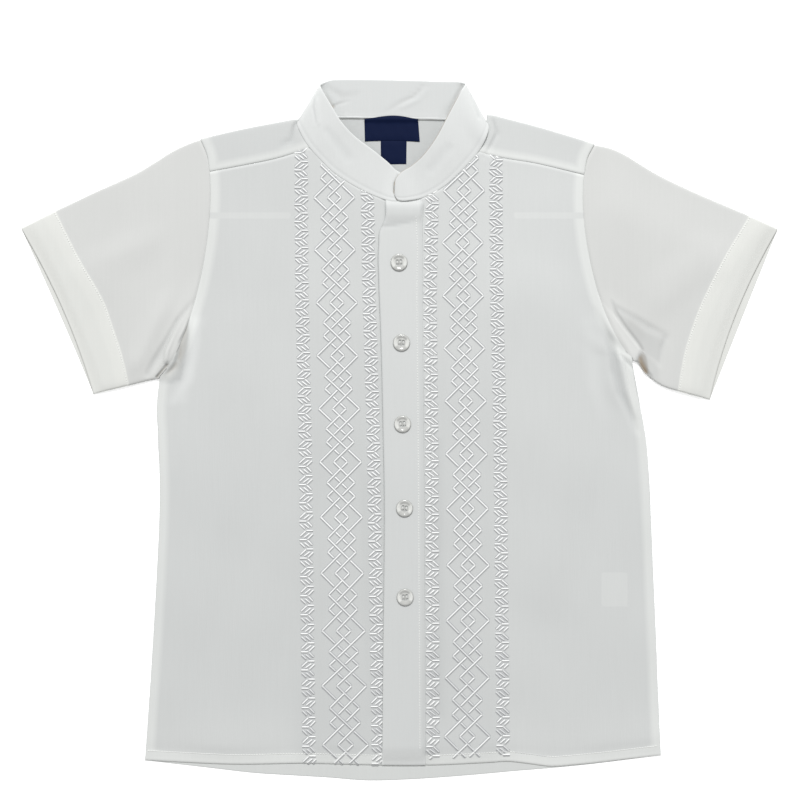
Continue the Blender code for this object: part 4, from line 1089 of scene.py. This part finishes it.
def make_placket(under):
    """The placket: sewn down at its right, folded at its left, its top under the collar's end."""
    panel = read_panel("placket", PLACKET_CORNERS, rounds=4)
    plan, away = panel.plan, panel.away
    y = plan[..., 1]
    near_top = smooth_step(PLACKET_NECK_Y, PLACKET_TOP_Y, y)
    creases, tone = crease_fields(plan, PLACKET_CREASES)
    heights = fold_down(panel.heights + 0.5 * wave_height(plan) + creases, away.left, *PLACKET_FOLD)
    seam_heights = height_on(under, plan) + PLACKET_SEAM_RISE
    heights = lerp(seam_heights, heights, smooth_step(*PLACKET_SEAM_REACH, away.right))
    heights = hem_down(heights, away, HEM_EDGE_Z + 0.4)
    heights = roll_down(roll_down(heights, away.top, EDGE_ROLL), away.bottom, EDGE_ROLL)
    heights = heights - STITCH_DIP * hump(PLACKET_STITCH_INSET, 0.8, away.right)
    # Painted light on the hem's slope, with the painted light and shade of the placket's tones
    tone = tone + 2 * hem_tone(away) + lerp(*PLACKET_TONES, smooth_step(*PLACKET_TONES_Y, y))
    edge_tone = lerp(*PLACKET_EDGE_TONES, smooth_step(*PLACKET_EDGE_TONES_Y, y))
    tone = tone + edge_tone * smooth_step(1.2, 0.3, away.left)
    tone = tone + PLACKET_SEAM_TONE * smooth_step(*PLACKET_SEAM_TONE_REACH, away.right)
    tone = tone + PLACKET_TOP_TONE * near_top * smooth_step(*PLACKET_TOP_TONE_REACH, away.right)
    bulge = PLACKET_BULGE * hump(*PLACKET_BULGE_Y, y) + PLACKET_STEP * hump(PLACKET_NECK_Y, 6.5, y)
    to_right = PLACKET_TOP_OUT * near_top * near(away.right, PLACKET_BEND)
    to_left = bulge * near(away.left, PLACKET_BEND) - to_right
    plan = plan - to_left[..., None] * np.array((1.0, 0.0))
    plan, heights = tuck(plan, heights, away.top, (0.0, 1.0), *PLACKET_TUCK)
    sheet = sheet_of(plan, heights, tone=tone)
    made = cloth_object("cloth_placket", [sheet], FACED_CLOTH, ["placket"])
    return panel.sides.right, sheet


def make_back():
    panel = read_under_layer("back", BACK_CORNERS)
    tone = BACK_TONE * smooth_step(*BACK_TONE_REACH, panel.away.bottom)
    sheet = sheet_of(panel.plan, BACK_TOP, 1.6 * HEM - panel.away.bottom, tone=tone)
    made = cloth_object("cloth_back", [sheet], BODY_CLOTH, ["back"])


def flap_sheet(side):
    """The yoke's part in front of one shoulder."""
    panel = read_panel("yoke", FLAP_CORNERS[side])
    away = panel.away
    arm, neck = (away.left, away.right) if side == "right" else (away.right, away.left)
    creases, tone = cloth_fields(panel.plan)
    heights = roll_down(panel.heights + creases + 0.6 * wave_height(panel.plan), arm)
    heights = fold_down(roll_down(heights, away.bottom), away.top)
    double = SOFT_EDGE * np.maximum(ALLOWANCE - arm, YOKE_ALLOWANCE - away.bottom)
    plan, heights = tuck(panel.plan, heights, neck, (-OUTWARD[side], 0.0), *FLAP_TUCK)
    return sheet_of(plan, heights, double, tone=tone + FLAP_TONE[side])


def make_yoke():
    """The yoke: one piece from the back's seam over the shoulders to the fronts' seams."""
    right = flap_sheet("right")
    left = flap_sheet("left")
    panel = read_under_layer("yoke", YOKE_CORNERS)
    # Painted shade on the yoke's inside, in the hollow of the neck
    back = sheet_of(panel.plan, BACK_TOP, tone=BACK_TONE)
    made = cloth_object("cloth_yoke", [back, right, left], BODY_CLOTH, ["yoke"])
    return left, right


def make_sleeve(side, corners):
    """A sleeve: a front layer and a back layer that meet at its folds, and its hem's stitching."""
    name = side + "_sleeve"
    panel = read_panel(name, corners)
    plan, away, outward, underarm_y = panel.plan, panel.away, OUTWARD[side], UNDERARM_Y[side]
    cuff, arm = (away.left, away.right) if side == "right" else (away.right, away.left)
    hem_line = through(SLEEVE_STITCHING[side], OUTLINE_PARTS)

    def in_hem(spots):
        """How far inside the hem each point is."""
        line_x = np.interp(spots[..., 1], *hem_line[::-1, ::-1].T)
        return distance_to(spots, hem_line) * np.sign(outward * (spots[..., 0] - line_x))

    hem = in_hem(plan)
    creases, tone = cloth_fields(plan)
    heights = hem_up(panel.heights + creases + 0.8 * wave_height(plan), -hem, 0.0)
    heights = lerp(HEM_EDGE_Z, heights, smooth_step(0.0, CUFF_REACH, cuff))
    heights = fold_down(fold_down(heights, away.top), away.bottom)
    tone = tone - 0.03 * smooth_step(HEM_BRIGHT - 2, HEM_BRIGHT + 2, hem)
    tone = tone - 0.02 * smooth_step(-9.0, -1.0, hem) * (hem < 0)
    # Painted shadow: a dark line at the cuff's very edge. CUFF_TONE paints light on the slope just inside it
    tone = tone - 0.2 * smooth_step(1.0, 0.3, cuff) + CUFF_TONE[side] * smooth_step(CUFF_REACH, 3.0, cuff)
    arm = arm + 9.0 * smooth_step(underarm_y + 8.0, underarm_y + 2.0, plan[..., 1])
    depth = TUCK_DEPTH * lerp(0.3, 1.0, far_from_underarm(plan, underarm_y))
    front_plan, heights = tuck(plan, heights, arm, (-outward, 0.0), depth)
    span = np.clip((plan[..., 1] - CUFF_SPAN[0]) / (CUFF_SPAN[1] - CUFF_SPAN[0]), 0, 1)
    inset = CUFF_INSET[side] * np.sin(math.pi * span) * near(cuff, CUFF_REACH)
    front_plan = front_plan + inset[..., None] * np.array((-outward * 0.92, 0.4))
    front = sheet_of(front_plan, np.maximum(heights, BACK_TOP), hem, BLANK, tone)
    back_plan = read_under_layer(name, corners).plan
    back = sheet_of(back_plan, BACK_TOP, in_hem(back_plan), BLANK, -0.01)
    made = cloth_object("cloth_" + name, [back, front], SLEEVE_CLOTH, [name])
    make_stitches(side + "_cuff", beside(hem_line, 1.2 * outward), ground_of(front), 1.5 * STITCH_WIDTH)


# The collar

def band_fields(plan, places, shares):
    """The stand's creases: the height and tone of its upper side. The creases' tone is painted shade and
    painted light.
    """
    place = places[:, None]
    inner = (place > BAND_BACK_FROM) & (place < BAND_BACK_TO)
    fields = np.where(inner, crease_fields(plan, BACK_BAND_CREASES), crease_fields(plan, FRONT_BAND_CREASES))
    fields += np.where(place < END_GAP_TO, crease_fields(plan, END_GAP), 0.0)
    stitched = hump(BAND_STITCH_SHARE, BAND_STITCH_WIDTH, shares[None]) * ~inner
    fields += np.array(BAND_STITCHED)[:, None, None] * stitched
    return fields[0], SHADE * fields[1]


def settle_seam(middle, places, shares, ground):
    """The stand's lower edge brought down to the cloth that it is sewn to."""
    low = height_on(ground, middle[:, 0, :2]) + SEAM_LIFT
    low = np.where(places > END_FROM, np.maximum(low, END_SEAM_Z), low)
    outer = (places < BAND_BACK_FROM - 0.5) | (places > BAND_BACK_TO + 2.0)
    drop = np.maximum(middle[:, 0, 2] - low, 0.0) * outer
    for _ in range(40):
        drop = np.convolve(np.pad(drop, 1, mode="edge"), (0.25, 0.5, 0.25), mode="valid")
    middle[..., 2] -= drop[:, None] * (1 - shares)[None]


def make_collar(ground):
    """The stand: a band with rounded edges round the neck, its right end under its left one."""
    rows = through(BAND, BAND_PARTS)
    places = np.linspace(0, len(BAND) - 1, len(rows))
    shares = np.linspace(0, 1, BAND_ROWS)
    middle = lerp(rows[:, None, :3], rows[:, None, 3:], shares[None, :, None])
    settle_seam(middle, places, shares, ground)
    middle[..., 2] = np.maximum(middle[..., 2], BAND_LOWEST)
    along, across = np.gradient(middle, axis=(0, 1))
    normal = np.cross(along, across)
    normal /= np.linalg.norm(normal, axis=-1, keepdims=True)
    normal *= np.sign(normal[..., 2:] + 1e-9)
    across /= np.linalg.norm(across, axis=-1, keepdims=True)
    creases, crease_tones = band_fields(middle[..., :2], places, shares)
    middle = middle + 0.8 * creases[..., None] * normal
    half = BAND_WALL / 2
    turn = np.linspace(0, math.pi, BAND_TURN + 2)[1:-1, None]

    def edge(end, side):
        """The band's rounded edge, from its upper side to its lower one or back."""
        round_it = np.cos(turn) * normal[:, end, None] + np.sin(turn) * across[:, end, None]
        return middle[:, end, None] + half * side * round_it

    under = (middle - half * normal)[:, ::-1]
    grid = np.concatenate([middle + half * normal, edge(-1, 1), under, edge(0, -1)], axis=1)
    grid[..., 2] = np.maximum(grid[..., 2], BAND_UNDER_Z)
    # Painted shade on the collar's inside at the back and on the left end's upper edge, with the creases'
    # painted shade and light
    back = smooth_step(*BACK_TONE_FROM, places) * smooth_step(*BACK_TONE_TO, places)
    tone = np.zeros(grid.shape[:2])
    tone[:, :BAND_ROWS] = crease_tones + BACK_BAND_TONE * back[:, None]
    edge_tone = RIGHT_EDGE_TONE * smooth_step(*RIGHT_EDGE_FROM, places)
    tone[:, BAND_ROWS : BAND_ROWS + BAND_TURN] = edge_tone[:, None]
    faces = tube_faces(*tone.shape)
    shape = grid.reshape(-1, 3), faces, COLLAR_CLOTH, "cloth", ["collar"]
    made = add_piece("cloth_collar", *shape, **single_cloth(tone))
    recalculate_normals(made.data)


def make_neck_seam():
    """The turned edge of the collar's seam, which shows as a ridge at the back of the neck."""
    seam = NECK_SEAM
    x = np.linspace(seam.from_x, seam.to_x, 60)[:, None]
    turn = np.linspace(0, math.pi, 7)
    y = seam.y - seam.fall * (x - seam.from_x) - seam.half_width * np.cos(turn)
    z = seam.z + seam.height * np.sin(turn) + 0.08 * np.sin(x * 0.35)
    points = np.stack(np.broadcast_arrays(x, y, z), axis=-1).reshape(-1, 3)
    fields = single_cloth(np.full(y.shape, -0.04))
    add_piece("cloth_neck_seam", points, grid_faces(*y.shape), COLLAR_CLOTH, "cloth", (), **fields)


# Labels

def make_label(name, node, height, upper, lower):
    """A woven label, a little pillowed, sewn flat at its edges."""
    left, right = (through([upper[n], lower[n]], 2) for n in (0, -1))
    sides = Sides(left, right, through(upper, 8), through(lower, 8))
    plan = fill_between(sides, LABEL_STEP)
    away = np.minimum.reduce([distance_to(plan, line) for line in sides])
    heights = height + LABEL_PILLOW * smooth_step(0.0, 4.0, away)
    heights += LABEL_RISE * smooth_step(*LABEL_RISE_Y, plan[..., 1])
    heights += 0.05 * np.sin(plan[..., 0] * 0.7 + plan[..., 1] * 0.4)
    sheet = sheet_of(plan, roll_down(heights, away, 0.2))
    cloth_object("label_" + name, [sheet], NAVY, [node], "label", 0.3)


# Thread

def strokes_object(name, strokes, tree, material, width, height, step, profile, node_names=()):
    """Raised strokes of thread, each laid along a line in plan on a surface. Parts past its edge are cut.

    The cloth that a stroke draws in beside it is a part of its profile, painted dark as the shadow in that
    dip.
    """
    points, faces, along, shades = [], [], [], []
    offset, rise, shade = np.array(profile).T
    cap = width / 2
    for start, end in np.array(strokes, float):
        length = float(np.linalg.norm(end - start))
        if length < width:
            continue
        direction = (end - start) / length
        side = np.array((-direction[1], direction[0]))
        # Painted shade on the strokes that fall to the right, low on the fronts
        stroke_shade = STROKE_SHADE * smooth_step(STROKE_SHADE_FROM_Y, STROKE_SHADE_TO_Y, start[1]) * (direction[0] * direction[1] < -0.1)
        inner = np.linspace(cap, length - cap, max(2, round((length - 2 * cap) / step) + 1))
        at = np.concatenate([[0.0, 0.3 * cap], inner, [length - 0.3 * cap, length]])
        hits = [drop_on(tree, *(start + direction * here)) for here in at]
        kept = np.array([n for n, hit in enumerate(hits) if hit is not None])
        if len(kept) < 3 or kept[-1] - kept[0] != len(kept) - 1:
            continue
        at = at[kept]
        inside = np.minimum(np.minimum(at - at[0], at[-1] - at), cap) / cap
        size = np.sqrt(np.maximum(0.0, 1 - (1 - inside) ** 2))[:, None]
        plan = (start + direction * at[:, None])[:, None] + side * (offset * 0.5 * width * size)[..., None]
        ground = np.array([hits[n].z for n in kept])[:, None] + THREAD_LIFT
        faces.append(grid_faces(len(kept), len(profile), sum(map(len, points)))[:, ::-1])
        points.append(np.dstack([plan, ground + rise * height * size]).reshape(-1, 3))
        along.append(np.repeat(at, len(profile)))
        shades.append(np.tile(np.maximum(shade, stroke_shade), len(kept)))
    fields = {"along": np.concatenate(along), "shade": np.concatenate(shades)}
    shape = np.concatenate(points), np.concatenate(faces)
    add_piece(name, *shape, material, "thread", node_names, **fields)


def repeats_down(diamonds):
    """The large diamonds' numbers and middles, with one more at each end."""
    rows = np.array(diamonds)
    line = np.concatenate([[2 * rows[0] - rows[1]], rows, [2 * rows[-1] - rows[-2]]])
    return np.arange(-1, len(rows) + 1), line[:, 0], line[:, 1]


def lattice_strokes(diamonds):
    numbers, xs, ys = repeats_down(diamonds)
    u, v = np.array(LATTICE).reshape(-1, 2, 2).transpose(2, 0, 1)
    at = np.arange(-1, len(diamonds))[:, None, None] + v / 8
    y = np.interp(at, numbers, ys)
    x = np.interp(at, numbers, xs) + u * np.interp(y, *zip(*LATTICE_UNITS))
    return np.stack([x, y], axis=-1).reshape(-1, 2, 2)


def chain_strokes(diamonds, outward, per_diamond, bar_y, middle_xs):
    numbers, _, ys = repeats_down(diamonds)
    across, down = np.array(CHAIN).reshape(-1, 2, 2).transpose(2, 0, 1)
    repeats = np.arange(-8, 32)[:, None, None] + down / CHAIN_REPEAT
    y = np.interp(np.interp(-bar_y, -ys, numbers) + repeats / per_diamond, numbers, ys)
    x = np.interp(-y, -np.array(CHAIN_YS), middle_xs) - outward * across
    return np.stack([x, y], axis=-1).reshape(-1, 2, 2)


def lay_embroidery(name, strokes, tree, hem, end):
    """One band of embroidery on a front, down to where it ends above the hem."""
    kept = []
    for start, stop in strokes:
        line = lerp(start, stop, np.linspace(0, 1, 25)[:, None])
        line = line[line[:, 1] > np.interp(line[:, 0], *hem.T) + end]
        if len(line) > 7:
            kept.append((line[0], line[-1]))
    size = THREAD_WIDTH, THREAD_HEIGHT, THREAD_STEP, EMBROIDERY_PROFILE
    strokes_object("thread_" + name, kept, tree, THREAD, *size, ["embroidery_" + name])


def make_embroidery(side, *ground):
    diamonds = DIAMONDS[side]
    lay_embroidery(side + "_lattice", lattice_strokes(diamonds), *ground)
    for name, *chain in CHAINS:
        if name.startswith(side):
            lay_embroidery(name, chain_strokes(diamonds, OUTWARD[side], *chain), *ground)


def make_stitches(name, line, tree, width=STITCH_WIDTH):
    """A row of machine stitches along a line in plan."""
    length = lengths_along(line)[-1]
    starts = np.arange(int(length / STITCH_PITCH)) * STITCH_PITCH
    ends = [read_line(line, (starts + more) / length) for more in (0.0, STITCH_LENGTH)]
    size = width, STITCH_HEIGHT, 0.5, STITCH_PROFILE
    strokes_object("stitches_" + name, np.stack(ends, axis=1), tree, SEWING, *size)


def inside(line, distance, trim=1.0):
    """A line in plan moved off by a distance, without its two ends."""
    moved = beside(line, distance)
    along = lengths_along(moved)
    return moved[(along > trim) & (along < along[-1] - trim)]


# Buttons

def hole_cutter():
    """Four pegs where the holes go."""
    work = bmesh.new()
    peg = {"radius1": BUTTON_HOLE_RADIUS * MM, "radius2": BUTTON_HOLE_RADIUS * MM, "depth": 8 * MM}
    for corner in range(4):
        turn = math.pi / 4 + corner * math.pi / 2
        made = bmesh.ops.create_cone(work, cap_ends=True, segments=32, **peg)
        away = Vector((math.cos(turn), math.sin(turn), 0)) * BUTTON_HOLE_FROM_CENTRE * MM
        bmesh.ops.translate(work, verts=made["verts"], vec=away)
    mesh = bpy.data.meshes.new("holes")
    work.to_mesh(mesh)
    work.free()
    return mesh


def pierced_button():
    """The mesh of a turned button with four holes cut through it."""
    radius, z = through(BUTTON_PROFILE, 3).T[..., None]
    turns = np.linspace(0, 2 * math.pi, BUTTON_SIDES, endpoint=False)
    around = np.stack(np.broadcast_arrays(radius * np.cos(turns), radius * np.sin(turns), z), axis=-1)
    body = add_mesh("button_body", around.reshape(-1, 3), tube_faces(*around.shape[:2]), PEARL)
    recalculate_normals(body.data)
    cutter = add_object("button_cutter", hole_cutter())
    cut = body.modifiers.new("holes", "BOOLEAN")
    cut.object = cutter
    cut.solver = "EXACT"
    bpy.context.view_layer.update()
    graph = bpy.context.evaluated_depsgraph_get()
    mesh = bpy.data.meshes.new_from_object(body.evaluated_get(graph))
    for made in (body, cutter):
        bpy.data.objects.remove(made, do_unlink=True)
    mesh.shade_smooth()
    mesh.set_sharp_from_angle(angle=math.radians(50))
    return mesh


def button_tone(spots):
    """A button's tone: painted light in its well, painted glints at the sides of its ring and painted shade
    at its top and bottom, and painted shade at its rim and in the insides of its holes.
    """
    across, up = np.abs(spots[:, 0]), np.abs(spots[:, 1])
    radius = np.hypot(across, up)
    ring = smooth_step(*RING_FROM, radius) * smooth_step(*RING_TO, radius)
    beside_middle = smooth_step(0.75, 0.45, up / np.maximum(radius, 0.1))
    tone = WELL_TONE * smooth_step(*WELL_TO, radius) + RIM_TONE * smooth_step(*RIM_FROM, radius)
    # Painted glints on the ring's left and right, painted shade on its top and bottom
    tone = tone + ring * lerp(RING_TONE, GLINT_TONE, beside_middle)
    from_hole = np.hypot(across - HOLE_REACH, up - HOLE_REACH)
    return tone + HOLE_TONE * (from_hole < 1.02 * BUTTON_HOLE_RADIUS)


def make_button_thread(number, x, y, z):
    """Two strands that lie side by side, each from one hole to the next."""
    share, turn = np.linspace(0, 1, 9)[:, None], np.linspace(0, 2 * math.pi, 8, endpoint=False)
    height = z + 0.5 + 0.35 * np.sin(share * math.pi) ** 0.5 + 0.18 * np.sin(turn)
    along = y + HOLE_REACH * (2 * share - 1)
    strands = [
        np.stack(np.broadcast_arrays(x + side * HOLE_REACH - 0.2 * np.cos(turn), along, height), axis=-1)
        for side in (-1, 1)
    ]
    points = np.concatenate(strands).reshape(-1, 3)
    faces = grid_faces(*height.shape, closed=True)
    faces = np.concatenate([faces, faces + height.size])
    shape = points, faces, SEWING, "thread"
    add_piece(f"button_thread_{number}", *shape, along=np.arange(len(points)) * 0.05)


def make_buttons(placket_ground):
    shape = pierced_button()
    spots = np.array([vert.co for vert in shape.vertices]) / MM
    add_field(shape, "tone", button_tone(spots))
    for number, (x, y) in enumerate(BUTTONS, 1):
        base = drop_on(placket_ground, x, y).z + BUTTON_LIFT
        turned = 0.12 * math.sin(2.7 * number)
        cos, sin = math.cos(turned), math.sin(turned)
        turning = np.array(((cos, sin, 0.0), (-sin, cos, 0.0), (0.0, 0.0, BUTTON_HEIGHT)))
        placed = spots @ turning + (x, y, base)
        mesh = shape.copy()
        mesh.vertices.foreach_set("co", (placed * MM).reshape(-1))
        finish_piece(add_object(f"pearl_button_{number}", mesh), [f"button_{number}"])
        make_button_thread(number, x, y, base)


# Light and camera

def make_floor():
    corners = [(x, y, -0.05) for y in (-FLOOR_REACH, FLOOR_REACH) for x in (-FLOOR_REACH, FLOOR_REACH)]
    add_mesh("floor", corners, [(0, 1, 3, 2)], floor_material())


def make_camera():
    lens = bpy.data.cameras.new("camera")
    lens.sensor_width = SENSOR
    lens.lens = SENSOR * CAMERA_HEIGHT / PICTURE_WIDTH
    camera = add_object("camera", lens)
    camera.location = Vector((*VIEW_CENTRE, CAMERA_HEIGHT)) * MM
    bpy.context.scene.camera = camera


def add_light(name, place, size, power):
    lamp = bpy.data.lights.new(name, "AREA")
    lamp.shape = "DISK"
    lamp.size = size
    lamp.energy = power
    light = add_object(name, lamp)
    light.location = place
    light.rotation_euler = (-Vector(place)).to_track_quat("-Z", "Y").to_euler()


def make_light():
    world = bpy.data.worlds.new("studio")
    world.use_nodes = True
    background = world.node_tree.nodes["Background"]
    background.inputs["Color"].default_value = (1.0, 1.0, 1.0, 1.0)
    background.inputs["Strength"].default_value = 0.42
    bpy.context.scene.world = world
    add_light("key", (0.0, 4.8, 4.5), 2.0, 358.0)
    for side in (-1, 1):
        add_light(f"glint_{side + 2}", (2.3 * side, 0.7, 2.1), 0.2, 3.0)
    bpy.context.scene.view_settings.view_transform = "Standard"


make_camera()
make_light()
make_floor()
make_back()
flaps = make_yoke()
hem_lines, front_sheets = {}, {}
for side, front in FRONTS.items():
    hem_lines[side], front_sheets[side] = make_front(side, *front)
front_grounds = {side: ground_of(sheet) for side, sheet in front_sheets.items()}
placket_edge, placket_sheet = make_placket(front_grounds["left"])
for side, corners in SLEEVE_CORNERS.items():
    make_sleeve(side, corners)
make_collar(ground_of(*flaps, *front_sheets.values(), placket_sheet))
make_neck_seam()
for label in LABELS:
    make_label(*label)

placket_ground = ground_of(placket_sheet)
for side in FRONTS:
    make_embroidery(side, front_grounds[side], hem_lines[side], EMBROIDERY_END[side])
for side in FRONTS:
    make_stitches(side + "_hem", inside(hem_lines[side], HEM), front_grounds[side])
make_stitches("placket", inside(placket_edge, -PLACKET_STITCH_INSET, 10.0), placket_ground)
make_buttons(placket_ground)
